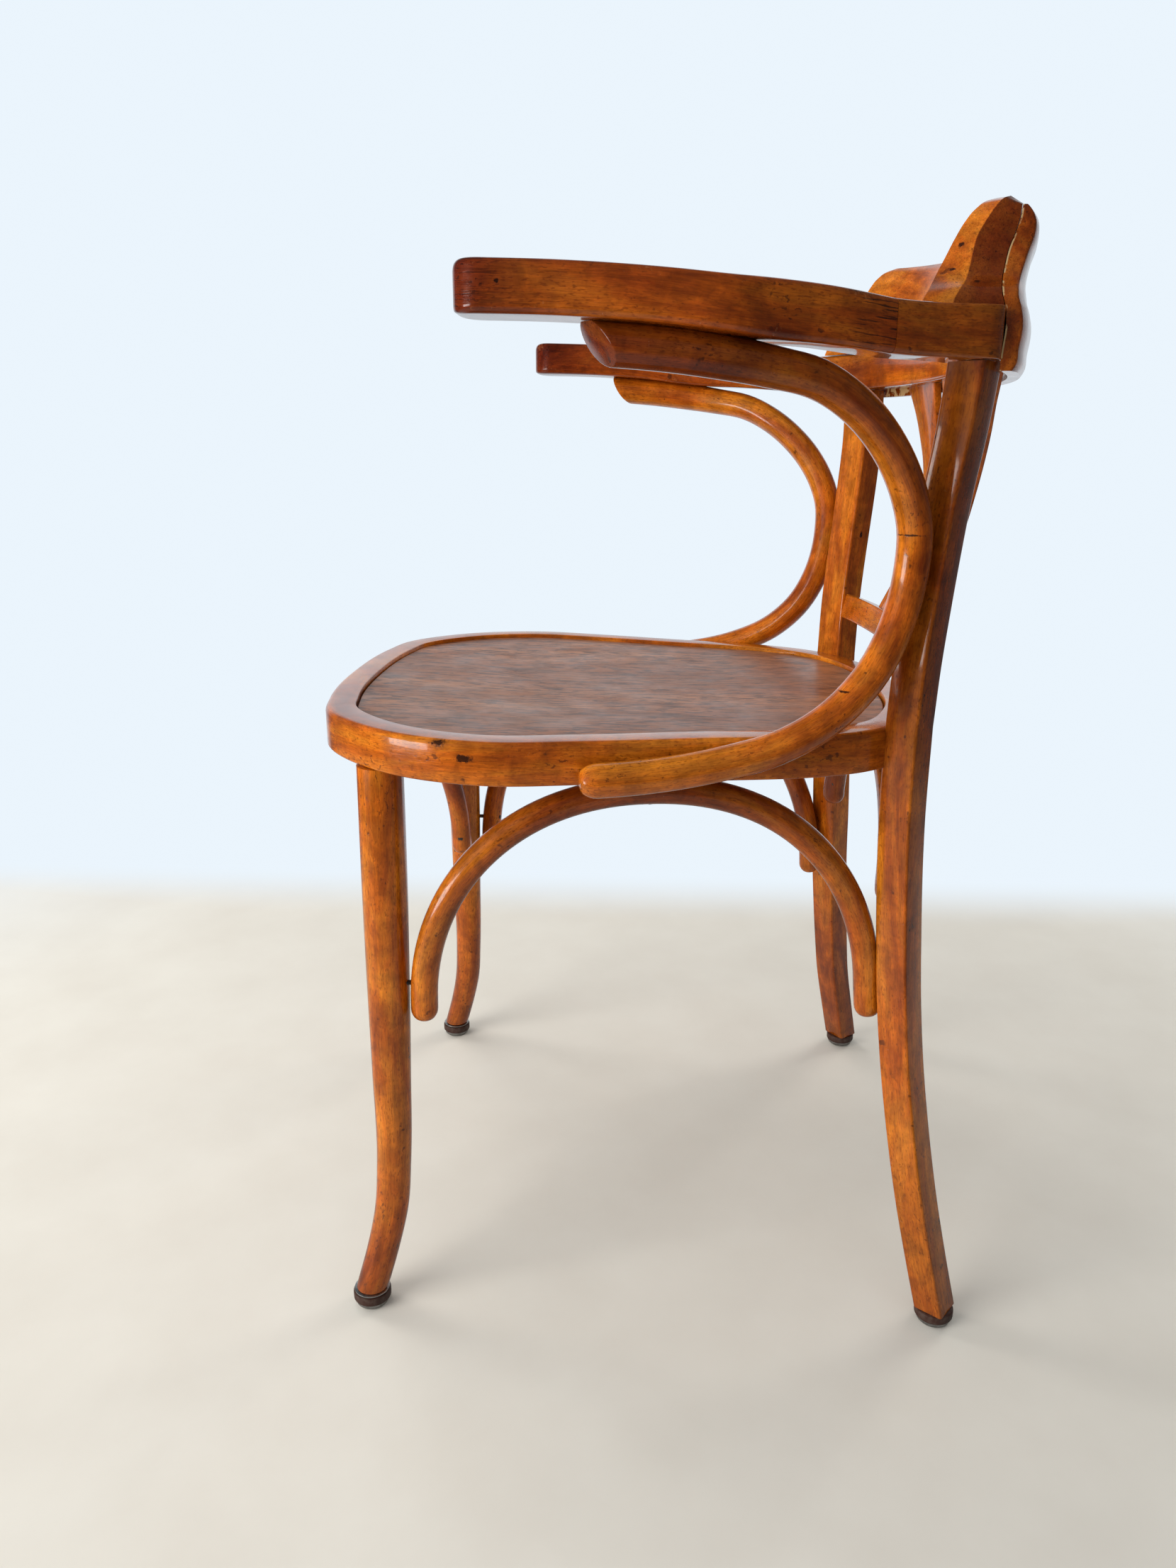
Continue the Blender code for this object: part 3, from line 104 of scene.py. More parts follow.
def drawn_bar(stations, closed=False):
    """Bar drawn out from station to station, as a mesh being built.

    A station holds the points round the section, their places in the straight bar before it
    was bent (along, across, up), and how much each is rubbed, or below zero how dark its
    painted shade is.
    """
    shape = bmesh.new()
    spot = shape.verts.layers.float_vector.new("spot")
    # The rubbed layer holds wear above zero and painted shade below zero.
    rubbed = shape.verts.layers.float.new("rubbed")
    count = len(stations[0][0])
    ring = bmesh.ops.create_circle(shape, segments=count, radius=1.0)["verts"]

    def settle(ring, station):
        for vert, place, straight, rub_or_shade in zip(ring, *station):
            vert.co = place
            vert[spot] = straight
            vert[rubbed] = rub_or_shade

    def rim(ring):
        return [shape.edges.get((ring[i], ring[(i + 1) % count])) for i in range(count)]

    settle(ring, stations[0])
    first = rim(ring)
    edges = first
    for station in stations[1:]:
        order = {vert: i for i, vert in enumerate(ring)}
        made = bmesh.ops.extrude_edge_only(shape, edges=edges)["geom"]
        following = [None] * count
        for vert in made:
            if isinstance(vert, bmesh.types.BMVert):
                for edge in vert.link_edges:
                    partner = edge.other_vert(vert)
                    if partner in order:
                        following[order[partner]] = vert
        ring = following
        settle(ring, station)
        edges = rim(ring)
    if closed:
        bmesh.ops.bridge_loops(shape, edges=first + edges)
    else:
        bmesh.ops.edgeloop_fill(shape, edges=first)
        bmesh.ops.edgeloop_fill(shape, edges=edges)
    return shape


def set_on_chair(name, shape, node, finish, crease=38.0):
    """Finished piece of the chair, in place of its plain solid."""
    bmesh.ops.recalc_face_normals(shape, faces=shape.faces)
    spot = shape.verts.layers.float_vector.get("spot")
    if spot:
        bench = shape.loops.layers.float_vector.new("bench")
        spots = [vert[spot].x for vert in shape.verts]
        whole = max(spots)
        turn = whole + whole / len(set(spots))
        for face in shape.faces:
            farthest = max(vert[spot].x for vert in face.verts)
            wraps = farthest - min(vert[spot].x for vert in face.verts) > whole / 2
            for loop in face.loops:
                along, across, up = loop.vert[spot]
                loop[bench] = (along + turn if wraps and along < farthest / 2 else along, across, up)
    mesh = bpy.data.meshes.new(name)
    shape.to_mesh(mesh)
    shape.free()
    mesh.materials.append(finish)
    mesh.shade_smooth()
    mesh.set_sharp_from_angle(angle=math.radians(crease))
    piece = bpy.data.objects.new(name, mesh)
    bpy.context.scene.collection.objects.link(piece)
    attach(piece, "root")
    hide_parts(node)


def put(finish, node, inputs):
    """Set or wire the inputs of a node."""
    for name, value in dict(inputs).items():
        if isinstance(value, bpy.types.NodeSocket):
            finish.node_tree.links.new(value, node.inputs[name])
        else:
            node.inputs[name].default_value = value


def add_node(finish, kind, inputs=(), **settings):
    """Node of a finish, with its settings, and with its inputs set or wired."""
    node = finish.node_tree.nodes.new(kind)
    for name, value in settings.items():
        setattr(node, name, value)
    put(finish, node, inputs)
    return node


def new_finish(name):
    """Finish with its shader, and the place on the chair that its marks follow."""
    finish = bpy.data.materials.new(name)
    finish.use_nodes = True
    solid = add_node(finish, 'ShaderNodeTexCoord').outputs["Object"]
    return finish, finish.node_tree.nodes["Principled BSDF"], solid


def ramp(finish, factor, stops):
    """Colours or grey levels chosen by a factor."""
    node = add_node(finish, 'ShaderNodeValToRGB', {"Fac": factor})
    band = node.color_ramp.elements
    while len(band) < len(stops):
        band.new(0.5)
    for element, (place, colour) in zip(band, stops):
        element.position = place
        element.color = (*colour, 1.0) if isinstance(colour, tuple) else (colour, colour, colour, 1.0)
    return node.outputs["Color"]


def mixed(finish, factor, first, second, way='MIX'):
    """Two colours mixed by a factor."""
    first, second = [(*value, 1.0) if isinstance(value, tuple) else value for value in (first, second)]
    inputs = {0: factor, 6: first, 7: second}
    return add_node(finish, 'ShaderNodeMix', inputs, data_type='RGBA', blend_type=way).outputs[2]


def calculated(finish, way, *values):
    """Result of a sum on grey levels."""
    return add_node(finish, 'ShaderNodeMath', dict(enumerate(values)), operation=way).outputs[0]


def measured(finish, way, *places):
    """Result of a sum on places, which is a number for a length or a dot product."""
    node = add_node(finish, 'ShaderNodeVectorMath', dict(enumerate(places)), operation=way)
    return node.outputs["Value" if way in ('LENGTH', 'DOT_PRODUCT') else "Vector"]


def spanned(finish, value, low, high, first=0.0, last=1.0, ease='LINEAR'):
    """Value brought from one span to another."""
    return add_node(finish, 'ShaderNodeMapRange', {
        "Value": value, "From Min": low, "From Max": high, "To Min": first, "To Max": last,
    }, interpolation_type=ease).outputs["Result"]


def cloud(finish, where, scale, detail=3.0, rough=0.55, warp=0.0):
    """Noise at a scale, as a grey level."""
    return add_node(finish, 'ShaderNodeTexNoise', {
        "Vector": where, "Scale": scale, "Detail": detail, "Roughness": rough, "Distortion": warp,
    }).outputs["Fac"]


def drawn_cloud(finish, where, start, scale, detail=3.0, rough=0.55, warp=0.0):
    """Noise drawn out along the grain, as a grey level."""
    where = add_node(finish, 'ShaderNodeMapping', {"Vector": where, "Location": start, "Scale": scale})
    return cloud(finish, where.outputs["Vector"], 1.0, detail, rough, warp)


def eased_mask(finish, value, low, high, most=1.0):
    """Grey level that climbs from nothing to its most between two values."""
    return ramp(finish, value, ((low, 0.0), (high, most)))


def bumped(finish, height, strength, distance):
    """Relief of a surface."""
    return add_node(finish, 'ShaderNodeBump', {
        "Height": height, "Strength": strength, "Distance": distance,
    }).outputs["Normal"]


GLOSS = 0.15
DOTS = 0.6
FRAY = 1.5


def shellacked_beech(name, seed, tones, grime=0.4, stops=((0.0, 1.0), (1.0, 1.0)), cracks=(), marks=(),
                     glue=0.0):
    """Old glossy shellac over bent beech: mottles, flecks and dark grain that follow the bar.

    The stops tell how bright the wood is kept at distances along the bar: on some pieces they
    paint shade, on the arms they darken the worn front ends. The cracks tell where it has short
    dark cracks. A rub below zero paints shade as well. A mark is a dark spot: its place and half
    sizes. The glue is how far a pale line of it reaches in from the bar's face.
    """
    pale, middle, deep = tones
    finish, shader, solid = new_finish(name)
    bench = add_node(finish, 'ShaderNodeAttribute', attribute_name="bench").outputs["Vector"]
    axes = add_node(finish, 'ShaderNodeSeparateXYZ', {"Vector": bench})
    # Above zero the rubbed attribute is wear; below zero it is painted shade.
    rub_or_shade = add_node(finish, 'ShaderNodeAttribute', attribute_name="rubbed").outputs["Fac"]
    start = (seed * 3.17, seed * 1.31, seed * 2.03)

    def grain(along, across, detail, rough, warp=0.0):
        return drawn_cloud(finish, bench, start, (along, across, across), detail, rough, warp)

    base = ramp(finish, grain(7.0, 34.0, 6.0, 0.62, 0.8), ((0.30, deep), (0.46, middle), (0.64, pale)))
    fibre = grain(80.0, 1500.0, 3.0, 0.6)
    for shade, *levels in (
            (cloud(finish, solid, 62.0, 5.0, 0.62, 0.5), (0.38, 0.74), (0.60, 1.10)),
            (grain(16.0, 300.0, 4.0, 0.65), (0.36, 0.82), (0.60, 1.08)),
            (fibre, (0.38, 0.80), (0.58, 1.05))):
        base = mixed(finish, 1.0, base, ramp(finish, shade, levels), 'MULTIPLY')
    fleck = eased_mask(finish, grain(260.0, 900.0, 1.0, 0.5), 0.58, 0.68, 0.6)
    base = mixed(finish, fleck, base, tuple(c * 0.45 for c in middle))

    patch = cloud(finish, solid, 17.0, 7.0, 0.66, 0.7)
    dirt = eased_mask(finish, patch, 0.50, 0.70, grime)
    base = mixed(finish, dirt, base, tuple(c * 0.5 for c in deep))
    cluster = eased_mask(finish, cloud(finish, solid, 21.0, 3.0), 0.46, 0.62)
    dot = eased_mask(finish, grain(230.0, 400.0, 2.0, 0.6), 0.62, 0.67, DOTS)
    dot = mixed(finish, 1.0, dot, cluster, 'MULTIPLY')
    speck = eased_mask(finish, cloud(finish, solid, 115.0, 2.0, 0.5), 0.70, 0.74, DOTS)
    dot = calculated(finish, 'MAXIMUM', dot, speck)
    if cracks:
        where = ramp(finish, calculated(finish, 'MULTIPLY_ADD', axes.outputs["X"], 2.0, 0.6),
                     [(at * 2.0 + 0.6, level) for at, level in cracks])
        line = eased_mask(finish, grain(34.0, 640.0, 2.0, 0.5), 0.60, 0.65)
        dot = calculated(finish, 'MAXIMUM', dot, calculated(finish, 'MULTIPLY', where, line))
    frayed = cloud(finish, solid, 420.0, 4.0, 0.7)
    for place, sizes in marks:
        near = measured(finish, 'DIVIDE', measured(finish, 'SUBTRACT', solid, place), sizes)
        near = calculated(finish, 'SUBTRACT', measured(finish, 'LENGTH', near),
                          calculated(finish, 'MULTIPLY', frayed, FRAY))
        near = ramp(finish, calculated(finish, 'ADD', near, FRAY / 2), ((0.45, 0.92), (0.80, 0.0)))
        dot = calculated(finish, 'MAXIMUM', dot, near)
    base = mixed(finish, dot, base, (0.014, 0.004, 0.002))

    # Low stops and rubs below zero darken the wood to a deep red-brown: painted shade on some pieces, and
    # the worn dark front ends of the arms.
    first = stops[0][0]
    reach = stops[-1][0] - first
    share = spanned(finish, axes.outputs["X"], first, first + reach)
    share = calculated(finish, 'MULTIPLY_ADD', calculated(finish, 'SUBTRACT', patch, 0.5), 0.2, share)
    clear_of_shade_and_wear = ramp(finish, share, [((at - first) / reach, level) for at, level in stops])
    clear_of_shade_and_wear = calculated(finish, 'MULTIPLY', clear_of_shade_and_wear, spanned(finish, rub_or_shade, 0.0, -1.0, 1.0, 0.0))
    base = mixed(finish, clear_of_shade_and_wear, mixed(finish, 1.0, base, (0.26, 0.13, 0.2), 'MULTIPLY'), base)

    grit = calculated(finish, 'MULTIPLY', cloud(finish, solid, 330.0, 5.0, 0.72),
                      cloud(finish, solid, 30.0, 3.0, 0.6))
    rubbed = eased_mask(finish, calculated(finish, 'MULTIPLY', rub_or_shade, grit), 0.27, 0.42, 0.55)
    base = mixed(finish, rubbed, base, (0.44, 0.17, 0.05))
    if glue:
        crumbs = eased_mask(finish, cloud(finish, solid, 160.0, 3.0), 0.44, 0.52)
        crumbs = calculated(finish, 'MULTIPLY', spanned(finish, axes.outputs["Y"], glue, glue * 0.6), crumbs)
        base = mixed(finish, crumbs, base, (0.62, 0.40, 0.18))

    haze = cloud(finish, solid, 46.0, 5.0, 0.68)
    rough = ramp(finish, haze, ((0.35, GLOSS), (0.70, GLOSS + 0.12)))
    rough = mixed(finish, dirt, rough, (GLOSS + 0.2,) * 3)
    rough = mixed(finish, rubbed, rough, (0.6, 0.6, 0.6))
    wave = cloud(finish, solid, 70.0, 3.0, 0.55)
    height = mixed(finish, dot, mixed(finish, 0.55, fibre, wave), (0.0, 0.0, 0.0))
    put(finish, shader, {
        "Base Color": base, "Roughness": rough, "Normal": bumped(finish, height, 0.3, 0.0005),
        "IOR": 1.5, "Specular IOR Level": 0.3,
        "Coat Weight": 0.8, "Coat Roughness": 0.06, "Coat IOR": 1.45,
    })
    return finish


HONEY = ((0.66, 0.200, 0.012), (0.49, 0.105, 0.005), (0.24, 0.036, 0.002))
frame_stains = (((0.2395, -0.1501, 0.4745), (0.004, 0.009, 0.004)),
                ((0.2443, -0.1336, 0.4652), (0.004, 0.011, 0.004)))
frame_beech = shellacked_beech("frame_beech", 1.0, HONEY, 0.35, marks=frame_stains)
right_half = flipped(FRAME_HALF[1:-1])[::-1]
frame_plan = spaced_round(list(FRAME_HALF) + right_half, 220)
plan_way = np.roll(frame_plan, -1, axis=0) - np.roll(frame_plan, 1, axis=0)
plan_way /= np.linalg.norm(plan_way, axis=1)[:, None]
plan_inward = np.column_stack([-plan_way[:, 1], plan_way[:, 0]])
frame_reach = lengths_along(frame_plan)


def seat_level(y):
    """Height of the seat frame's top."""
    return SEAT_HEIGHT - SEAT_FALL * y


def rounded_corner(middle_a, middle_b, radius, start, steps, rub_or_shade=0.6):
    """Quarter circle of a section: across, up or deep, rubbed."""
    angles = [math.radians(start + 90.0 * step / steps) for step in range(steps + 1)]
    return [(middle_a + radius * math.cos(angle), middle_b + radius * math.sin(angle), rub_or_shade)
            for angle in angles]


def section(rows, along, place_at):
    """Station of a bar, from rows of across, up and rubbed that a rule sets on the chair."""
    return ([place_at(across, up) for across, up, _ in rows],
            [(along, across, up) for across, up, _ in rows], [row[2] for row in rows])


def frame_section(plan, inward, reach):
    """Section of the frame at a point of its outline."""
    def place_at(across, depth):
        x, y = plan + inward * across
        return x, y, seat_level(y) - depth

    return section(frame_profile, reach, place_at)


panel_seat = PANEL_DROP + PANEL_THICK + HAIR_GAP
frame_profile = rounded_corner(RIM_ROUND, RIM_ROUND, RIM_ROUND, 180.0, 6)
frame_profile += rounded_corner(FRAME_RIM - INNER_EASE, INNER_EASE, INNER_EASE, -90.0, 3, 0.8)
frame_profile += [(FRAME_RIM, panel_seat, 0.0), (FRAME_LEDGE, panel_seat, 0.0),
                  (FRAME_LEDGE, FRAME_DEEP, 0.2)]
frame_profile += rounded_corner(BOTTOM_EASE, FRAME_DEEP - BOTTOM_EASE, BOTTOM_EASE, 90.0, 4, 0.5)
frame_stations = [frame_section(*row) for row in zip(frame_plan, plan_inward, frame_reach)]
set_on_chair("bent_seat_frame", drawn_bar(frame_stations, closed=True), "seat_ring",
             frame_beech)

# Seat panel: thin beech plywood with a brown face veneer, pressed to a shallow dish and glued
# into the step of the seat frame. The veneer's grain runs from front to back.
PANEL_GROOVE = 0.0012
PANEL_DISH = 0.004
PANEL_EASE = 0.0006

seat_veneer, shader, solid = new_finish("seat_veneer")
drift = add_node(seat_veneer, 'ShaderNodeTexNoise', {"Vector": solid, "Scale": 3.0, "Detail": 2.0})
grain_way = add_node(seat_veneer, 'ShaderNodeMix', {
    0: 0.035, 4: solid, 5: drift.outputs["Color"],
}, data_type='VECTOR').outputs[1]
broad = drawn_cloud(seat_veneer, grain_way, (0.3, 0.1, 0.0), (26.0, 1.6, 1.0), 5.0, 0.6, 0.6)
veneer = ramp(seat_veneer, broad, (
    (0.30, (0.190, 0.060, 0.020)), (0.50, (0.290, 0.100, 0.038)), (0.70, (0.390, 0.155, 0.065)),
))
figure = drawn_cloud(seat_veneer, grain_way, (0.0, 0.35, 0.0), (9.5, 1.5, 1.0), 3.0, 0.5, 0.3)
figure = calculated(seat_veneer, 'FRACT', calculated(seat_veneer, 'MULTIPLY', figure, 26.0))
figure = ramp(seat_veneer, figure, ((0.0, 0.62), (0.22, 1.0), (0.80, 1.04), (1.0, 0.62)))
veneer = mixed(seat_veneer, 1.0, veneer, figure, 'MULTIPLY')
pores = drawn_cloud(seat_veneer, grain_way, (0.0, 0.0, 0.0), (340.0, 62.0, 1.0), 3.0, 0.6, 0.5)
veneer = mixed(seat_veneer, eased_mask(seat_veneer, pores, 0.50, 0.57, 0.92), veneer, (0.060, 0.022, 0.013))
sat_on = cloud(seat_veneer, solid, 7.0, 4.0, 0.6, 0.4)
veneer = mixed(seat_veneer, eased_mask(seat_veneer, sat_on, 0.35, 0.75, 0.35), veneer, (0.42, 0.23, 0.14))
seat_haze = ramp(seat_veneer, cloud(seat_veneer, solid, 24.0, 5.0, 0.65), ((0.35, 0.30), (0.70, 0.48)))
put(seat_veneer, shader, {
    "Base Color": veneer, "Roughness": seat_haze, "Normal": bumped(seat_veneer, pores, 0.25, 0.0004),
    "Specular IOR Level": 0.35, "Coat Weight": 0.08, "Coat Roughness": 0.2,
})

panel_out = frame_plan + plan_inward * (FRAME_RIM + PANEL_GROOVE)
panel_in = frame_plan + plan_inward * (FRAME_LEDGE + PANEL_GROOVE)
panel_middle = panel_in.mean(axis=0)


def panel_station(points, depth):
    """Loop of the panel at a depth below the frame's top."""
    places = [(x, y, seat_level(y) - depth) for x, y in points]
    straight = [(y, x, depth) for x, y in points]
    return places, straight, [0.0] * len(places)


def dished(share, depth):
    """Loop of the dish, shrunk towards the panel's middle."""
    points = panel_middle + (panel_in - panel_middle) * share
    return panel_station(points, depth + PANEL_DISH * (1.0 - share**2)**1.5)


shares = (0.03, 0.15, 0.3, 0.45, 0.6, 0.72, 0.82, 0.9, 0.96, 1.0)
panel_under = PANEL_DROP + PANEL_THICK
panel_stations = [dished(share, panel_under) for share in shares]
panel_stations.append(panel_station(panel_out, panel_under))
panel_stations.append(panel_station(panel_out, PANEL_DROP + PANEL_EASE))
panel_stations.append(panel_station(panel_out + plan_inward * PANEL_EASE, PANEL_DROP))
panel_stations += [dished(share, PANEL_DROP) for share in reversed(shares)]
set_on_chair("pressed_seat_panel", drawn_bar(panel_stations), "seat_panel", seat_veneer)

# Front legs: round beech, turned thicker towards the top, steamed so that the foot kicks
# forwards and outwards, and glued into the seat frame with a round tenon.
GLIDE_TOP = 0.0128
COLLAR_TALL = 0.0015
FRONT_LEG_BOTTOM = GLIDE_TOP + 2 * HAIR_GAP + COLLAR_TALL
# Front leg: share of its height, middle, diameter
FRONT_LEG = (
    (0.00, 0.2225, -0.2240, 0.0260), (0.08, 0.2165, -0.2145, 0.0262),
    (0.15, 0.2112, -0.2081, 0.0268), (0.25, 0.2068, -0.2050, 0.0272),
    (0.43, 0.2033, -0.2042, 0.0300), (0.60, 0.2008, -0.2038, 0.0325),
    (0.78, 0.1982, -0.2035, 0.0340), (1.00, 0.1965, -0.2030, 0.0340),
)
FOOT_EASE = 0.0025
LEG_SIDES = 40
TENON_RADIUS = 0.0083
TENON_TALL = 0.016
leg_top = seat_level(-0.192) - FRAME_DEEP - HAIR_GAP

leg_beech = shellacked_beech("leg_beech", 2.0, HONEY, 0.35, ((0.0, 0.35), (0.09, 0.9), (0.45, 1.0)))


def front_leg_at(level):
    """Place and diameter of the left front leg at a height."""
    return read_off(FRONT_LEG, (level - FRONT_LEG_BOTTOM) / (leg_top - FRONT_LEG_BOTTOM))


def round_station(centre, side, up, radius, along, sides, rub_or_shade=0.0):
    """Ring of points of a round bar."""
    angles = [2 * math.pi * step / sides for step in range(sides)]
    rows = [(radius * math.cos(angle), radius * math.sin(angle), rub_or_shade) for angle in angles]
    return section(rows, along, lambda a, b: Vector(centre) + Vector(side) * a + Vector(up) * b)


def leg_ring(level, radius, lift=0.0, rub_or_shade=0.0):
    """Level ring of the left front leg."""
    x, y, _ = front_leg_at(min(level, leg_top))
    return round_station((x, y, level + lift), (1, 0, 0), (0, 1, 0), radius, level, LEG_SIDES, rub_or_shade)


def mirrored_stations(stations):
    """The same sections on the other side of the chair."""
    return [([(-x, y, z) for x, y, z in places], straight, rubs) for places, straight, rubs in stations]


def set_both(name, stations, node, finish, right_finish=None):
    """Piece of the chair's left side, and its mirror image on the right."""
    for label, built, coat in (("left", stations, finish),
                               ("right", mirrored_stations(stations), right_finish or finish)):
        set_on_chair(f"{name}_{label}", drawn_bar(built), f"{node}_{label}", coat)


leg_levels = np.linspace(FRONT_LEG_BOTTOM, leg_top, 70)
foot_radius = front_leg_at(leg_levels[0])[2] / 2
leg_stations = [leg_ring(leg_levels[0], foot_radius - ease, (FOOT_EASE - ease) * 0.3, 0.9)
                for ease in (FOOT_EASE, 0.0012, 0.0004)]
leg_stations += [leg_ring(level, front_leg_at(level)[2] / 2) for level in leg_levels[1:]]
leg_stations += [leg_ring(leg_top + rise, TENON_RADIUS) for rise in (0.00005, TENON_TALL)]
set_both("turned_front_leg", leg_stations, "front_leg", leg_beech)

# Back posts: square beech bars with eased corners, standing turned under the seat frame's
# rear corners, bent back and outwards below the seat and to the yoke above it.
POST_TURN = math.radians(38.0)
POST_BOTTOM = GLIDE_TOP + HAIR_GAP
YOKE_UNDERSIDE = 0.7225
POST_TOP = YOKE_UNDERSIDE - HAIR_GAP
POST_EASE = 0.0021
POST_HALF_WIDE = 0.0145
POST_FULL_FROM = 0.30
# Back post below and above the seat's top: share of that height, middle
POST_BELOW = (
    (0.00, 0.2215, 0.2275), (0.10, 0.2105, 0.2180), (0.19, 0.2025, 0.2100),
    (0.30, 0.1890, 0.2027), (0.41, 0.1777, 0.1967), (0.52, 0.1705, 0.1920),
    (0.63, 0.1645, 0.1890), (0.84, 0.1605, 0.1845), (1.00, 0.1625, 0.1835),
)
POST_ABOVE = (
    (0.00, 0.1625, 0.1835), (0.19, 0.1650, 0.1850), (0.35, 0.1663, 0.1877),
    (0.51, 0.1670, 0.1910), (0.67, 0.1695, 0.1945), (0.83, 0.1775, 0.1980),
    (1.00, 0.1895, 0.1990),
)
post_seat_level = seat_level(POST_ABOVE[0][2])
to_front = np.array([math.cos(POST_TURN), -math.sin(POST_TURN)])
to_rear = np.array([math.sin(POST_TURN), math.cos(POST_TURN)])

# The left post's stops paint shade on it above the seat, which the right post's don't; both are darker
# towards the foot.
shaded_post_beech = shellacked_beech("shaded_post_beech", 3.0, HONEY, 0.5, (
    (0.0, 0.3), (0.12, 0.75), (0.25, 1.0), (0.42, 0.85), (0.50, 0.35), (0.72, 0.5)))
right_post_beech = shellacked_beech("right_post_beech", 3.5, HONEY, 0.4, (
    (0.0, 0.4), (0.12, 0.8), (0.25, 1.0), (0.72, 1.0)),
    marks=(((-0.1558, 0.1986, 0.588), (0.003, 0.003, 0.0045)),))


def post_at(level):
    """Middle of the left post at a height."""
    if level < post_seat_level:
        return read_off(POST_BELOW, (level - POST_BOTTOM) / (post_seat_level - POST_BOTTOM))
    return read_off(POST_ABOVE, (level - post_seat_level) / (POST_TOP - post_seat_level))


def post_half(level):
    """Half width and half depth of a post, which is thinner at the foot."""
    share = min(level / POST_FULL_FROM, 1.0)
    return 0.01275 + 0.00175 * share, 0.01175 + 0.001 * share


SQUARE_CORNERS = ((1, 1, 0.0), (-1, 1, 90.0), (-1, -1, 180.0), (1, -1, 270.0))


def eased_square(half_width, half_depth, ease):
    """Square section with rounded corners: across, up, rubbed."""
    rows = []
    for sx, sy, start in SQUARE_CORNERS:
        rows += rounded_corner(sx * (half_width - ease), sy * (half_depth - ease), ease, start, 4, 0.75)
        rows.append(((sx - sy) / 2 * half_width, (sy + sx) / 2 * half_depth, 0.0))
    return rows


def post_section(level):
    """Level section of the left post."""
    middle = post_at(level)

    def place_at(across, up):
        return *(middle + to_front * across + to_rear * up), level

    return section(eased_square(*post_half(level), POST_EASE), level, place_at)


post_levels = np.concatenate([np.linspace(POST_BOTTOM, post_seat_level, 70)[:-1],
                              np.linspace(post_seat_level, POST_TOP, 44)])
set_both("bent_back_post", [post_section(level) for level in post_levels], "back_post",
         shaded_post_beech, right_post_beech)

# Glides: a brown plastic cup nailed under each foot, with a domed steel sole. The front feet
# have a thin steel collar above the cup. All are turned shapes.
SPIN_STEPS = 48
CUP_LEVEL = 0.0053
COLLAR_LEVEL = 0.0131


def turned(profile, place):
    """Closed shape spun from (radius, height) points that run from axis to axis."""
    shape = bmesh.new()
    verts = [shape.verts.new((radius, 0.0, height)) for radius, height in profile]
    edges = [shape.edges.new(pair) for pair in zip(verts, verts[1:])]
    bmesh.ops.spin(shape, geom=verts + edges, axis=(0.0, 0.0, 1.0), cent=(0.0, 0.0, 0.0),
                   steps=SPIN_STEPS, angle=2 * math.pi, use_merge=True)
    bmesh.ops.remove_doubles(shape, verts=shape.verts, dist=0.00001)
    bmesh.ops.translate(shape, vec=place, verts=shape.verts)
    return shape


def plain_finish(name, colour, rough, metal=0.0, scratch=0.3, soil=(0.02, 0.015, 0.01), soil_most=0.5):
    """Metal or plastic with fine scratches, and dirt that gathers in patches."""
    finish, shader, solid = new_finish(name)
    soiled = eased_mask(finish, cloud(finish, solid, 240.0, 5.0, 0.65), 0.45, 0.75, soil_most)
    scratches = drawn_cloud(finish, solid, (0.0, 0.0, 0.0), (900.0, 2600.0, 900.0), 3.0, 0.7)
    put(finish, shader, {
        "Base Color": mixed(finish, soiled, colour, soil), "Metallic": metal,
        "Roughness": ramp(finish, scratches, ((0.3, rough), (0.8, rough + scratch))),
        "Normal": bumped(finish, scratches, 0.15, 0.0002),
    })
    return finish


sole_steel = plain_finish("sole_steel", (0.55, 0.54, 0.52), 0.22, 1.0)
cup_plastic = plain_finish("cup_plastic", (0.045, 0.016, 0.010), 0.38, 0.0, 0.25, (0.16, 0.13, 0.10), 0.35)
nail_profile = ((0.0, 0.025), (0.0018, 0.0215), (0.0018, 0.0052))
sole_profile = (
    (0.0, 0.0025), (0.0, 0.0002), (0.004, 0.0), (0.009, 0.0), (0.0105, 0.0003), (0.0119, 0.0010),
    (0.0130, 0.0022), (0.0135, 0.0036), (0.0135, 0.0049), (0.0131, 0.0050), (0.0, 0.0050),
)
cup_profile = (
    (0.0020, 0.0), (0.0136, 0.0), (0.0145, 0.0003), (0.0149, 0.0009), (0.0150, 0.0022), (0.0150, 0.0062),
    (0.0148, 0.0069), (0.0141, 0.0074), (0.0130, 0.0075), (0.0020, 0.0075), (0.0020, 0.0),
)
collar_profile = (
    (0.0020, 0.0), (0.0137, 0.0), (0.0141, 0.0004), (0.0142, 0.0008), (0.0140, 0.0013), (0.0136, 0.0015),
    (0.0020, 0.0015), (0.0020, 0.0),
)
feet = [(f"{end}_{side}", sign * x, y)
        for end, x, y in (("front", 0.2227, -0.2245), ("rear", 0.2215, 0.2275))
        for side, sign in (("left", 1), ("right", -1))]
for label, x, y in feet:
    set_on_chair(f"domed_sole_{label}", turned(nail_profile + sole_profile[::-1][1:], (x, y, 0.0)),
                 f"glide_sole_{label}", sole_steel)
    set_on_chair(f"plastic_cup_{label}", turned(cup_profile, (x, y, CUP_LEVEL)),
                 f"glide_cup_{label}", cup_plastic)
    if "front" in label:
        set_on_chair(f"steel_collar_{label}", turned(collar_profile, (x, y, COLLAR_LEVEL)),
                     f"glide_collar_{label}", sole_steel)

# Yoke: two flat arms and a back rail of beech, sawn to shape, glued end to end with finger
# joints, and rounded over where the hands rest. The arms' front ends are worn nearly black.
YOKE_THICK = 0.0315
YOKE_TOP = YOKE_UNDERSIDE + YOKE_THICK
ARM_FRONT = -0.127
ARM_EDGE = 0.005
ARM_END_ROUND = 0.018
ARM_END_TOP_DROP = 0.0075
ARM_END_UNDER_DROP = 0.0030
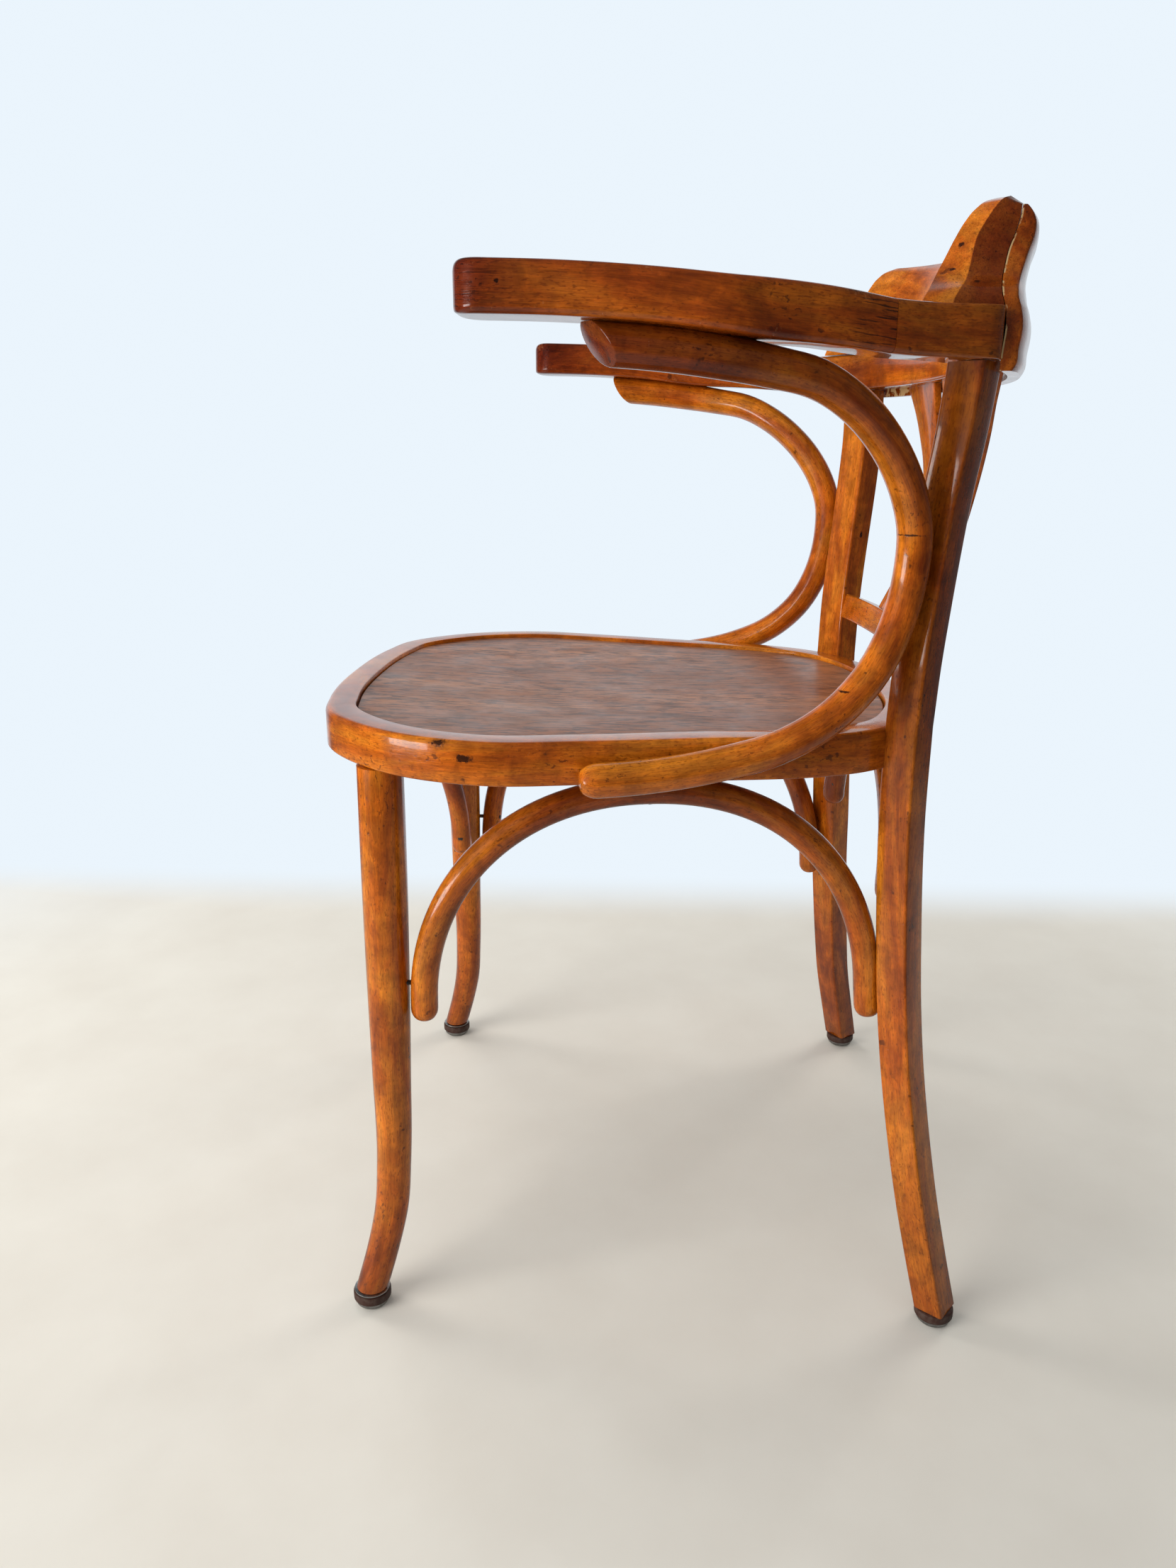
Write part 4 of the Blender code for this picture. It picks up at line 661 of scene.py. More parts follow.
# Arm: place along it, outer edge, inner edge, rise of the top and of the underside
ARM_ROWS = (
    (-0.127, 0.2970, -0.127, 0.2500, -0.127, 0.0172, 0.0190),
    (-0.060, 0.2970, -0.060, 0.2500, -0.060, 0.0152, 0.0172),
    (0.000, 0.2970, 0.000, 0.2500, -0.005, 0.0111, 0.0130),
    (0.033, 0.2920, 0.033, 0.2485, 0.018, 0.0086, 0.0095),
    (0.060, 0.2790, 0.060, 0.2425, 0.045, 0.0080, 0.0068),
    (0.098, 0.2620, 0.098, 0.2315, 0.083, 0.0056, 0.0045),
    (0.136, 0.2450, 0.136, 0.2170, 0.118, 0.0010, 0.0010),
)
SEAM_CENTRE = -0.224
SEAM_RADIUS = 0.480
SEAM_END = 0.203
# Corner of the yoke: share of the way from the joint to the seam, outer edge, inner edge,
# rounding of the outer and inner edges
CORNER_ROWS = (
    (0.00, 0.2450, 0.1360, 0.2170, 0.1180, 0.0050, 0.0050),
    (0.37, 0.2310, 0.1680, 0.2035, 0.1470, 0.0040, 0.0040),
    (0.86, 0.2125, 0.2085, 0.1860, 0.1720, 0.0006, 0.0025),
    (1.00, 0.2030, 0.21095, 0.1760, 0.1815, 0.0006, 0.0025),
)
RAIL_FRONT = 0.225
RAIL_HOLLOW = 1.25
RAIL_END_X = 0.176
RAIL_END_Y = 0.1815
BLEND_FROM = 0.15
BLEND_LENGTH = 0.026


def beside(row, start, step, rub_or_shade):
    """Point a step past the end of a corner that began at an angle."""
    away = math.radians(start + 180.0)
    return row[0] + step * math.cos(away), row[1] + step * math.sin(away), rub_or_shade


def yoke_station(outer, inner, top, bottom, outer_edge, inner_edge, along):
    """Section of the yoke between its outer and inner edge in plan."""
    outer = Vector((*outer, 0.0))
    inner = Vector((*inner, 0.0))
    across = (inner - outer).length
    inward = (inner - outer) / across
    tall = top - bottom
    rows = []
    for middle, rise, edge, start in (
            (outer_edge, outer_edge, outer_edge, 180.0),
            (across - inner_edge, inner_edge, inner_edge, 270.0),
            (across - inner_edge, tall - inner_edge, inner_edge, 0.0),
            (outer_edge, tall - outer_edge, outer_edge, 90.0)):
        rows += rounded_corner(middle, rise, edge, start, 5, 0.8)
        rows.append(beside(rows[-1], start, 0.003, 0.15))
    return section(rows, along, lambda a, b: outer + inward * a + Vector((0.0, 0.0, bottom + b)))


def arm_stations():
    """Sections of the left arm from its rounded front end to the joint."""
    stations = []
    joint = ARM_ROWS[-1][0] - HAIR_GAP
    turns = np.concatenate([np.linspace(0.0, 84.0, 15), [90.0]])
    places = [(ARM_FRONT + ARM_END_ROUND * (1.0 - math.cos(math.radians(turn))), turn) for turn in turns]
    places += [(y, 90.0) for y in np.linspace(ARM_FRONT + ARM_END_ROUND, joint, 64)[1:]]
    for y, turn in places:
        outer_x, outer_y, inner_x, inner_y, rise, under = read_off(ARM_ROWS, y)
        draw_in = 1.0 - math.sin(math.radians(turn))
        pull = ARM_END_ROUND * draw_in
        edge = ARM_EDGE * (1.0 - 0.5 * draw_in)
        top = YOKE_TOP + rise - ARM_END_TOP_DROP * draw_in**2
        bottom = YOKE_UNDERSIDE + under + ARM_END_UNDER_DROP * draw_in**2
        stations.append(yoke_station((outer_x - pull, outer_y), (inner_x + pull, inner_y),
                                     top, bottom, edge, edge, y - joint))
    return stations


def seam_y(x):
    """Place of the plain seam arc behind the chair's middle line."""
    return SEAM_CENTRE + math.sqrt(SEAM_RADIUS**2 - x**2)


def rail_front(x):
    """Hollow front of the back rail, which runs into the corner at its end."""
    curve = RAIL_FRONT - RAIL_HOLLOW * x**2
    if x > BLEND_FROM:
        end_step = RAIL_END_Y - (RAIL_FRONT - RAIL_HOLLOW * RAIL_END_X**2)
        curve += end_step * ((x - BLEND_FROM) / BLEND_LENGTH)**2
    return curve


def rail_stations():
    """Sections of the back rail from the left joint round to the right one."""
    half = []
    for share in np.linspace(0.0, 1.0, 30):
        ax, ay, bx, by, outer_edge, inner_edge = read_off(CORNER_ROWS, share)
        half.append(((ax, ay), (bx, by), outer_edge, inner_edge))
    for x in np.linspace(SEAM_END, 0.0, 36)[1:]:
        front = x * RAIL_END_X / SEAM_END
        half.append(((x, seam_y(x)), (front, rail_front(front)), *CORNER_ROWS[-1][5:]))
    reach = lengths_along(np.array([row[0] for row in half]))
    stations = [yoke_station(outer, inner, YOKE_TOP, YOKE_UNDERSIDE, outer_edge, inner_edge, along)
                for (outer, inner, outer_edge, inner_edge), along in zip(half, reach)]
    rise, under = read_off(ARM_ROWS, ARM_ROWS[-1][0])[4:]
    middle = YOKE_UNDERSIDE + YOKE_THICK / 2
    for i, share in enumerate(np.linspace(1.0, 0.0, 12)):
        places, straight, rubs = stations[i]
        places = [place + Vector((0.0, 0.0, share**2 * (rise if place.z > middle else under)))
                  for place in places]
        stations[i] = (places, straight, rubs)
    far = [(places, [(2 * reach[-1] - along, a, b) for along, a, b in straight], rubs)
           for places, straight, rubs in mirrored_stations(stations[-2::-1])]
    return stations + far


ARM_TONES = ((0.62, 0.160, 0.009), (0.45, 0.084, 0.004), (0.20, 0.025, 0.001))
arm_beech = shellacked_beech(
    "arm_beech_worn", 4.0, ARM_TONES, 0.5,
    ((-0.262, 0.0), (-0.236, 0.2), (-0.20, 0.65), (-0.12, 1.0), (-0.05, 0.8), (0.0, 0.35)),
    ((-0.265, 0.7), (-0.20, 0.0), (-0.032, 0.0), (-0.026, 0.8), (0.0, 0.8)),
    (((0.297, -0.0997, 0.7577), (0.0018, 0.0018, 0.0018)),))
rail_beech = shellacked_beech("rail_beech", 4.0, HONEY, 0.35, (
    (0.0, 0.45), (0.10, 0.5), (0.16, 1.0), (0.44, 1.0), (0.50, 0.5), (0.6, 0.45)))
set_both("flat_arm", arm_stations(), "arm", arm_beech)
set_on_chair("yoke_back_rail", drawn_bar(rail_stations()), "back_rail", rail_beech)

# Crest block and back board: a solid beech block glued on top of the yoke and hollowed to
# the sitter's back, and a curved board glued on behind both. A light line of glue shows.

# Crest block: height, half length at the seam, corner, front of the end band, front of the middle
CREST_ROWS = (
    (0.0000, 0.2030, 0.195, 0.1590, 0.1780, 0.2265),
    (0.0064, 0.2030, 0.193, 0.1615, 0.1800, 0.2275),
    (0.0106, 0.2000, 0.188, 0.1645, 0.1830, 0.2285),
    (0.0170, 0.1900, 0.178, 0.1690, 0.1885, 0.2295),
    (0.0255, 0.1805, 0.167, 0.1745, 0.1925, 0.2315),
    (0.0361, 0.1740, 0.160, 0.1805, 0.1955, 0.2335),
    (0.0488, 0.1720, 0.158, 0.1865, 0.1985, 0.2365),
    (0.0594, 0.1720, 0.158, 0.1920, 0.2040, 0.2400),
    (0.0679, 0.1715, 0.158, 0.1985, 0.2090, 0.2435),
    (0.0737, 0.1690, 0.156, 0.2065, 0.2140, 0.2470),
    (0.0764, 0.1640, 0.152, 0.2140, 0.2190, 0.2500),
)
CREST_TALL = CREST_ROWS[-1][0]
CREST_DIP = 0.011
CREST_FALL = 0.0069
FALL_START = 0.0594
SEAM_GAP = 0.0005
SEAM_WAVE = (
    (0.000, 0.0), (0.031, 0.0), (0.040, -0.003), (0.050, -0.006), (0.061, -0.0065),
    (0.071, -0.0055), (0.081, -0.0025), (0.090, -0.0003), (0.104, 0.0005),
)
# Back board: height above the yoke's underside, thickness
BOARD_ROWS = (
    (-0.0065, 0.0090), (-0.0040, 0.0107), (0.0080, 0.0116), (0.0200, 0.0120),
    (0.0315, 0.0112), (0.0379, 0.0110), (0.0421, 0.0115), (0.0485, 0.0122), (0.0570, 0.0130),
    (0.0676, 0.0140), (0.0803, 0.0138), (0.0909, 0.0108), (0.0959, 0.0075), (0.0994, 0.0040),
)
SEAM_POINTS = 33


def seam_run(half_length, height):
    """Points of the seam at a height above the yoke's underside, from left to right."""
    wave = float(read_off(SEAM_WAVE, height)[0])
    return [(x, seam_y(x) + wave) for x in np.linspace(half_length, -half_length, SEAM_POINTS)]


def dipped(x, height):
    """Height above the yoke once the dip in the crest's middle is taken off."""
    return height - CREST_DIP * height / CREST_TALL * (1.0 - (x / SEAM_END)**2)


def crest_fall(height):
    """How far the crest's rear lies below its front in the slice that starts at a height."""
    return CREST_FALL * max(height - FALL_START, 0.0) / (CREST_TALL - FALL_START)


def crest_station(height):
    """One slice through the crest block."""
    half_length, corner_x, corner_y, band_y, middle_y = read_off(CREST_ROWS, height)
    fall = crest_fall(height)
    band = Vector((half_length, band_y))
    arris = Vector((corner_x, corner_y))
    shares = [0.985, 0.96] + [0.92 - 0.92 * step / 22 for step in range(23)]
    front = [(corner_x * share, middle_y - (middle_y - corner_y) * share**3) for share in shares]
    seam = seam_run(half_length, height - fall + YOKE_THICK)
    # The end faces' rows and seam ends get rubs below zero, which paint shade on both end faces.
    rows = [(half_length, (seam[0][1] + band_y) / 2, 0.65, -0.85), (*band, 0.3, -0.8),
            (*band.lerp(arris, 0.07), 0.3, 0.6), (*band.lerp(arris, 0.5), 0.15, 0.1),
            (*band.lerp(arris, 0.93), 0.0, 0.3), (*((arris * 2 + band.lerp(arris, 0.9)) / 3), 0.0, 0.9)]
    rows += [(x, y, 0.0, 0.1) for x, y in front]
    rows += [(-x, y, lower, rub_or_shade) for x, y, lower, rub_or_shade in rows[:-1]][::-1]
    rows += [(x, y, 1.0, -0.85 if abs(x) > half_length - 0.0001 else 0.1) for x, y in seam[::-1]]
    places = [(x, y, YOKE_TOP + HAIR_GAP + dipped(x, height - lower * fall)) for x, y, lower, _ in rows]
    return places, [(x, y, height) for x, y, _, _ in rows], [row[3] for row in rows]


def board_station(height):
    """One slice through the back board."""
    thick = float(read_off(BOARD_ROWS, height)[0])
    above = max(height - YOKE_THICK, 0.0)
    slice_start = above
    if above > FALL_START:
        slice_start += (above - FALL_START) * CREST_FALL / (CREST_TALL - FALL_START - CREST_FALL)
    half_length = float(read_off(CREST_ROWS, min(slice_start, CREST_TALL))[0])
    seam = seam_run(half_length, max(height, 0.0))
    front = [(x, y + SEAM_GAP, 0.0) for x, y in seam]
    ease = min(0.003, thick * 0.4)
    rear = [(x * (1.0 + thick * 0.3 / SEAM_RADIUS), y + thick, thick) for x, y in seam]
    rear = [row for row in rear if abs(row[0]) < half_length - ease]
    while len(rear) < SEAM_POINTS - 2:
        rear.append(rear[-1])
    left_y = seam[0][1]
    turn_left = [(half_length - ease * (1 - math.cos(t)), left_y + thick - ease * (1 - math.sin(t)),
                  thick - ease * (1 - math.sin(t))) for t in (0.0, 0.4, 0.8, 1.2)]
    turn_right = [(-x, y, across) for x, y, across in turn_left][::-1]
    plan = front + turn_right + rear[::-1] + turn_left[::-1]
    level = YOKE_UNDERSIDE + height - above + (HAIR_GAP if height >= YOKE_THICK else 0.0)
    places = [(x, y, level + dipped(x, above)) for x, y, _ in plan]
    straight = [(x, across, height) for x, _, across in plan]
    rubs = [0.3] + [0.0] * (SEAM_POINTS - 2) + [0.3] + [0.6] * 4 + [0.05] * len(rear) + [0.6] * 4
    return places, straight, rubs


CHESTNUT = ((0.52, 0.125, 0.008), (0.35, 0.060, 0.003), (0.12, 0.014, 0.001))
crest_dents = (((0.1646, 0.1904, 0.796), (0.0035, 0.0035, 0.0022)),
               ((0.1722, 0.1835, 0.7801), (0.0035, 0.0035, 0.0018)),
               ((0.191, 0.1955, 0.7704), (0.003, 0.003, 0.004)))
crest_beech = shellacked_beech("crest_beech", 5.0, HONEY, 0.25, marks=crest_dents)
board_beech = shellacked_beech("board_beech", 6.0, CHESTNUT, 0.45, glue=0.0013)
crest_levels = np.concatenate([np.linspace(0.0, 0.0679, 32), np.linspace(0.0695, CREST_TALL, 8)])
set_on_chair("crest_block_shaped", drawn_bar([crest_station(height) for height in crest_levels]),
             "crest_block", crest_beech, 18.0)
board_levels = np.concatenate([np.linspace(BOARD_ROWS[0][0], YOKE_THICK - 0.0001, 16),
                               np.linspace(YOKE_THICK, BOARD_ROWS[-1][0], 34)])
set_on_chair("glued_back_board", drawn_bar([board_station(height) for height in board_levels]),
             "back_board", board_beech)

# Lower cross rail and slats: a leaning beech rail between the posts, and three flat slats
# that fan out upwards and bow to the rear, tenoned into both rails.
CROSS_HEIGHT = 0.519
CROSS_FRONT = 0.193
CROSS_SAG = 0.0139
CROSS_END = 0.1650
CROSS_CUT = 0.0165
CROSS_LEAN = math.radians(14.0)
CROSS_DEEP = 0.0125
CROSS_TALL = 0.023
SLAT_THICK = 0.0065
# Slats: share of the height, place of the rear, then the inner and outer edge of each
SLAT_REAR = (
    (0.00, 0.2085), (0.18, 0.2245), (0.35, 0.2345), (0.55, 0.2415), (0.65, 0.2425),
    (0.78, 0.2415), (0.90, 0.2392), (1.00, 0.2370),
)
OUTER_SLAT = (
    (0.00, 0.0400, 0.0640), (0.18, 0.0410, 0.0655), (0.35, 0.0435, 0.0680),
    (0.55, 0.0460, 0.0740), (0.65, 0.0480, 0.0830), (0.78, 0.0499, 0.0995),
    (0.88, 0.0507, 0.1125), (0.96, 0.0520, 0.1265), (1.00, 0.0525, 0.1330),
)
MIDDLE_SLAT = (
    (0.00, -0.0120, 0.0120), (0.35, -0.0130, 0.0130), (0.65, -0.0145, 0.0145),
    (0.85, -0.0170, 0.0170), (1.00, -0.0200, 0.0200),
)


def squared_rows(half_a, half_b, ease, rub_or_shade):
    """Rectangle with rounded corners: across, up, rubbed."""
    rows = []
    for sx, sy, start in SQUARE_CORNERS:
        rows += rounded_corner(sx * (half_a - ease), sy * (half_b - ease), ease, start, 3, rub_or_shade)
        rows.append(beside(rows[-1], start, 0.0015, 0.0))
    return rows


def cross_station(x):
    """Leaning section of the cross rail."""
    middle = CROSS_FRONT + math.tan(CROSS_LEAN) * CROSS_TALL / 2 - CROSS_SAG * (x / CROSS_END)**2
    middle += CROSS_DEEP / 2
    return section(
        squared_rows(CROSS_DEEP / 2, CROSS_TALL / 2, 0.0016, 0.7), x + 1.0,
        lambda a, b: (x, middle + a * math.cos(CROSS_LEAN) + b * math.sin(CROSS_LEAN),
                      CROSS_HEIGHT + b * math.cos(CROSS_LEAN) - a * math.sin(CROSS_LEAN)))


SLAT_BOTTOM = CROSS_HEIGHT + CROSS_TALL / 2 * math.cos(CROSS_LEAN)
SLAT_TOP = YOKE_UNDERSIDE - HAIR_GAP
SLAT_TENON = 0.009
SLAT_TURN = 0.035 / 0.08


def slat_station(edges, share, lift=0.0, narrow=0.0):
    """Section of a slat at a share of its height."""
    inner, outer = read_off(edges, share)
    middle = (inner + outer) / 2
    half = (outer - inner) / 2 - narrow
    rear = float(read_off(SLAT_REAR, share)[0])
    shift = math.tan(CROSS_LEAN) * lift if share == 0.0 else 0.0
    turn = SLAT_TURN * middle
    level = SLAT_BOTTOM + (SLAT_TOP - SLAT_BOTTOM) * share + lift
    return section(squared_rows(half, SLAT_THICK / 2, 0.0012, 0.6), level,
                   lambda a, b: (middle + a, rear - SLAT_THICK / 2 + b + shift - turn * a, level))


slat_beech = shellacked_beech("slat_beech", 7.0, HONEY, 0.3)
cross_beech = shellacked_beech("cross_rail_beech", 8.0, HONEY, 0.3)
cross_run = np.linspace(-CROSS_END + CROSS_CUT, CROSS_END - CROSS_CUT, 50)
set_on_chair("leaning_cross_rail", drawn_bar([cross_station(x) for x in cross_run]),
             "lower_cross_rail", cross_beech)
right_slat = [(share, -outer, -inner) for share, inner, outer in OUTER_SLAT]
for label, edges in (("left", OUTER_SLAT), ("centre", MIDDLE_SLAT), ("right", right_slat)):
    stations = [slat_station(edges, 0.0, -SLAT_TENON, 0.0012)]
    stations += [slat_station(edges, share) for share in np.linspace(0.0, 1.0, 48)]
    stations += [slat_station(edges, 1.0, lift, 0.006) for lift in (0.00005, SLAT_TENON)]
    set_on_chair(f"fan_slat_{label}", drawn_bar(stations), f"back_slat_{label}",
                 slat_beech)

# Arm bows: round beech bars steamed and bent into an open loop, from the side of the seat
# frame past the post and under the arm. The low end is rounded, the high end sawn at a slant.
BOW_RADIUS = 0.0122
BOW_TIP = 0.0062
BOW_TIP_LENGTH = 0.012
BOW_SIDE_GAP = 0.0004
BOW_LOW = ((-0.055, -0.0245), (-0.010, -0.0220), (0.040, -0.0150), (0.085, -0.0025))
BOW_RISE = ((0.2025, 0.1240, 0.082), (0.1920, 0.1480, 0.185), (0.1864, 0.1625, 0.305))
BOW_FALL = (
    (0.1885, 0.1695, 0.580), (0.1945, 0.1625, 0.667), (0.2035, 0.1515, 0.747),
    (0.2160, 0.1360, 0.823), (0.2300, 0.1165, 0.890), (0.2440, 0.0915, 0.944),
)
BOW_ALONG_ARM = (
    (0.2585, 0.058, 0.0020), (0.2675, 0.030, 0.0009), (0.2722, 0.000, 0.0005),
    (0.2738, -0.035, 0.0004), (0.2742, -0.080, 0.0004),
)
BOW_CUT = Vector((0.467, -0.766, -0.444)).normalized()
BOW_CUT_X = 0.2738
BOW_TOUCH = 0.468
BOW_SLIDE = 0.004
BOW_SWELL = 0.0022
UNDER_ARM_LEVEL = 0.68
UNDER_ARM_REAR = 0.08
SAW_REACH = 0.061
TIP_RUB = 0.5
LAST_LENGTH = 0.0018
LAST_DRAW = 0.0012


def side_of(plan, y):
    """Half width of an outline of the seat frame at a place along its side."""
    side = plan[plan[:, 0] > 0.0]
    side = side[np.argsort(side[:, 1])]
    return float(np.interp(y, side[:, 1], side[:, 0]))


def arm_underside(y):
    """Height of the arm's underside at a station."""
    return YOKE_UNDERSIDE + read_off(ARM_ROWS, y)[5]


def bow_line():
    """Middle line of the left bow."""
    points = [(side_of(frame_plan, y) + BOW_RADIUS + 2 * HAIR_GAP + BOW_SIDE_GAP, y, seat_level(y) + rise)
              for y, rise in BOW_LOW]
    span = POST_TOP - post_seat_level
    points += [(x, y, post_seat_level + span * share) for x, y, share in BOW_RISE]
    level = post_seat_level + span * BOW_TOUCH
    off = to_front * (POST_HALF_WIDE + BOW_RADIUS + HAIR_GAP) - to_rear * BOW_SLIDE
    points.append((*(post_at(level) + off), level))
    points += [(x, y, post_seat_level + span * share) for x, y, share in BOW_FALL]
    points += [(x, y, arm_underside(y) - BOW_RADIUS - HAIR_GAP - drop) for x, y, drop in BOW_ALONG_ARM]
    return spaced(points, 400)


def round_bar(route, radius, tips, tip_length, sides=28, steps=90):
    """Stations of a round bar along a route, each end drawn in to its tip's radius, if it has one."""
    reach = lengths_along(route)
    total = reach[-1]
    close = np.array([0.0, 0.0003, 0.0009, 0.0018, 0.003, 0.0045, 0.0065, 0.009, 0.012])
    at = np.concatenate([close, np.linspace(0.016, total - 0.016, steps), total - close[::-1]])
    points = np.column_stack([np.interp(at, reach, route[:, i]) for i in range(3)])
    way = Vector(points[1] - points[0]).normalized()
    side = Vector((0.0, 0.0, 1.0)).cross(way)
    if side.length < 0.1:
        side = Vector((0.0, 1.0, 0.0))
    side = (side - way * side.dot(way)).normalized()
    stations = []
    for i, (point, along) in enumerate(zip(points, at)):
        ahead = points[min(i + 1, len(points) - 1)]
        behind = points[max(i - 1, 0)]
        turned_way = Vector(ahead - behind).normalized()
        side.rotate(way.rotation_difference(turned_way))
        way = turned_way
        side = (side - way * side.dot(way)).normalized()
        size = radius
        rub_or_shade = 0.0
        for tip, gone in zip(tips, (along, total - along)):
            if tip and gone < tip_length:
                size = tip + (radius - tip) * math.sin(math.pi / 2 * gone / tip_length)**0.7
                rub_or_shade = TIP_RUB
            if tip and gone < LAST_LENGTH:
                size -= LAST_DRAW * (1.0 - gone / LAST_LENGTH)**2
        stations.append(round_station(point, side, way.cross(side), size, along, sides, rub_or_shade))
    return stations


def sawn(shape, place, normal, reach):
    """Saw one end of a bar off flat, and ease the sawn rim."""
    near = {vert for vert in shape.verts if (vert.co - Vector(place)).length < reach}
    parts = list(near)
    parts += [edge for edge in shape.edges if near.issuperset(edge.verts)]
    parts += [face for face in shape.faces if near.issuperset(face.verts)]
    made = bmesh.ops.bisect_plane(shape, geom=parts, plane_co=place, plane_no=normal, clear_outer=True)
    rim = [item for item in made["geom_cut"] if isinstance(item, bmesh.types.BMEdge)]
    bmesh.ops.edgeloop_fill(shape, edges=rim)
    bmesh.ops.recalc_face_normals(shape, faces=shape.faces)
    bmesh.ops.bevel(shape, geom=rim, offset=0.0008, offset_type='OFFSET', segments=2, profile=0.5,
                    affect='EDGES', material=-1)
    return shape


def against_arm(places):
    """Section of a bow with its top planed flat where it lies under the arm."""
    middle = sum(place[2] for place in places) / len(places)
    if middle < UNDER_ARM_LEVEL or places[0][1] > UNDER_ARM_REAR:
        return places
    fitted = []
    for x, y, z in places:
        swell = BOW_SWELL * float(np.interp(y, (0.020, 0.075), (1.0, 0.0)))
        z += max(z - middle, 0.0) / BOW_RADIUS * swell
        fitted.append((x, y, min(z, arm_underside(y) - 0.00005)))
    return fitted


bow_cracks = (((0.195, 0.166, 0.6122), (0.013, 0.013, 0.0011)),
              ((0.2063, 0.1258, 0.5066), (0.008, 0.007, 0.001)))
# The left bow's stops paint shade on its upper part, which runs under the arm; the right bow has none.
shaded_bow_beech = shellacked_beech("shaded_bow_beech", 9.0, HONEY, 0.4, (
    (0.0, 1.0), (0.30, 1.0), (0.42, 0.85), (0.50, 0.5), (0.56, 0.15), (0.7, 0.1)), marks=bow_cracks)
right_bow_beech = shellacked_beech("right_bow_beech", 9.5, HONEY, 0.35)
left_bow = [(against_arm(places), straight, rubs)
            for places, straight, rubs in round_bar(bow_line(), BOW_RADIUS, (BOW_TIP, 0.0), BOW_TIP_LENGTH)]
for sign, label, cut_y, stations, finish in (
        (1, "left", -0.0435, left_bow, shaded_bow_beech),
        (-1, "right", -0.0355, mirrored_stations(left_bow), right_bow_beech)):
    cut_place = Vector((sign * BOW_CUT_X, cut_y, arm_underside(cut_y) - BOW_RADIUS))
    shape = sawn(drawn_bar(stations), cut_place, BOW_CUT * Vector((sign, 1.0, 1.0)), SAW_REACH)
    set_on_chair(f"bent_arm_bow_{label}", shape, f"arm_bow_{label}", finish)

# Leg braces: thinner round bars bent into arches under the seat frame, screwed to the legs
# and to the frame. Their ends are rounded.
BRACE_RADIUS = 0.0104
BRACE_TIP = 0.0052
BRACE_TIP_LENGTH = 0.009
BRACE_GAP = BRACE_RADIUS + 0.0018
BRACE_STRAIGHT = 0.009
ARCH_POWER = 2 / 2.15
SIDE_SHIFT_FRONT = 0.004
SIDE_SHIFT_REAR = 0.006
SIDE_MIDDLE_LEVEL = 0.277


def brace_line(start, end, top_lean, lean_power, foot_start, foot_end, spring, top):
    """Arch that follows one leg up and the other down."""
    points = [(*start(level), level) for level in (foot_start, foot_start + BRACE_STRAIGHT)]
    for step in range(45):
        angle = math.pi * step / 44
        swing = math.cos(angle)
        along = math.copysign(abs(swing)**ARCH_POWER, swing)
        rise = math.sin(angle)**ARCH_POWER
        level = spring + (top - spring) * rise
        place = start(level) + (end(level) - start(level)) * (1.0 - along) / 2
        points.append((*(place + np.array(top_lean) * rise**lean_power), level))
    points += [(*end(level), level) for level in (foot_end + BRACE_STRAIGHT, foot_end)]
    return spaced(points, 300)


def brace_top(y):
    """Height of a brace's middle line where it meets the seat frame."""
    return seat_level(y) - FRAME_DEEP - BRACE_RADIUS - 2 * HAIR_GAP


def side_front(level):
    """Middle of the side brace behind the front leg."""
    x, y, across = front_leg_at(level)
    return np.array([x + SIDE_SHIFT_FRONT, y + across / 2 + BRACE_GAP])


def side_rear(level):
    """Middle of the side brace in front of the rear leg."""
    return post_at(level) - to_rear * (post_half(level)[1] + BRACE_GAP) + to_front * SIDE_SHIFT_REAR


def front_inner(level):
    """Middle of the front brace beside the left front leg."""
    x, y, across = front_leg_at(level)
    return np.array([x - across / 2 - BRACE_GAP, y])


def rear_inner(level):
    """Middle of the rear brace beside the left rear leg."""
    half_wide, half_deep = post_half(level)
    corner = post_at(level) - to_front * half_wide - to_rear * half_deep
    return np.array([corner[0] - BRACE_GAP + 0.0011, corner[1] - 0.001])


middle_in = frame_plan + plan_inward * FRAME_LEDGE / 2


def cross_brace(inner, y, lean_power, foot, spring):
    """Middle line of a brace from the left leg to the right one, screwed to the frame at a place."""
    top = brace_top(y)
    return brace_line(inner, lambda level: inner(level) * np.array([-1.0, 1.0]), (0.0, y - inner(top)[1]),
                      lean_power, foot, foot, spring, top)


def brace_bar(line):
    """Stations of a brace."""
    return round_bar(line, BRACE_RADIUS, (BRACE_TIP, BRACE_TIP), BRACE_TIP_LENGTH, 24, 80)


side_y = (side_front(SIDE_MIDDLE_LEVEL)[1] + side_rear(SIDE_MIDDLE_LEVEL)[1]) / 2
side_top = brace_top(side_y)
side_lean = side_of(middle_in, side_y) - (side_front(side_top)[0] + side_rear(side_top)[0]) / 2
side_line = brace_line(side_front, side_rear, (side_lean, 0.0), 1, 0.247, 0.236, 0.258, side_top)
front_line = cross_brace(front_inner, float(middle_in[:, 1].min()), 2, 0.246, 0.258)
rear_line = cross_brace(rear_inner, float(middle_in[:, 1].max()), 1, 0.322, 0.335)
# The braces' stops paint shade along part of their tops, under the seat frame.
shaded_brace_beech = shellacked_beech("shaded_brace_beech", 10.0, HONEY, 0.35, (
    (0.0, 1.0), (0.10, 0.9), (0.2, 0.3), (0.32, 0.3), (0.42, 0.7), (0.6, 0.9)))
set_both("bent_side_brace", brace_bar(side_line), "side_brace", shaded_brace_beech)
for end, line in (("front", front_line), ("rear", rear_line)):
    set_on_chair(f"bent_{end}_brace", drawn_bar(brace_bar(line)), f"{end}_brace",
                 shaded_brace_beech)

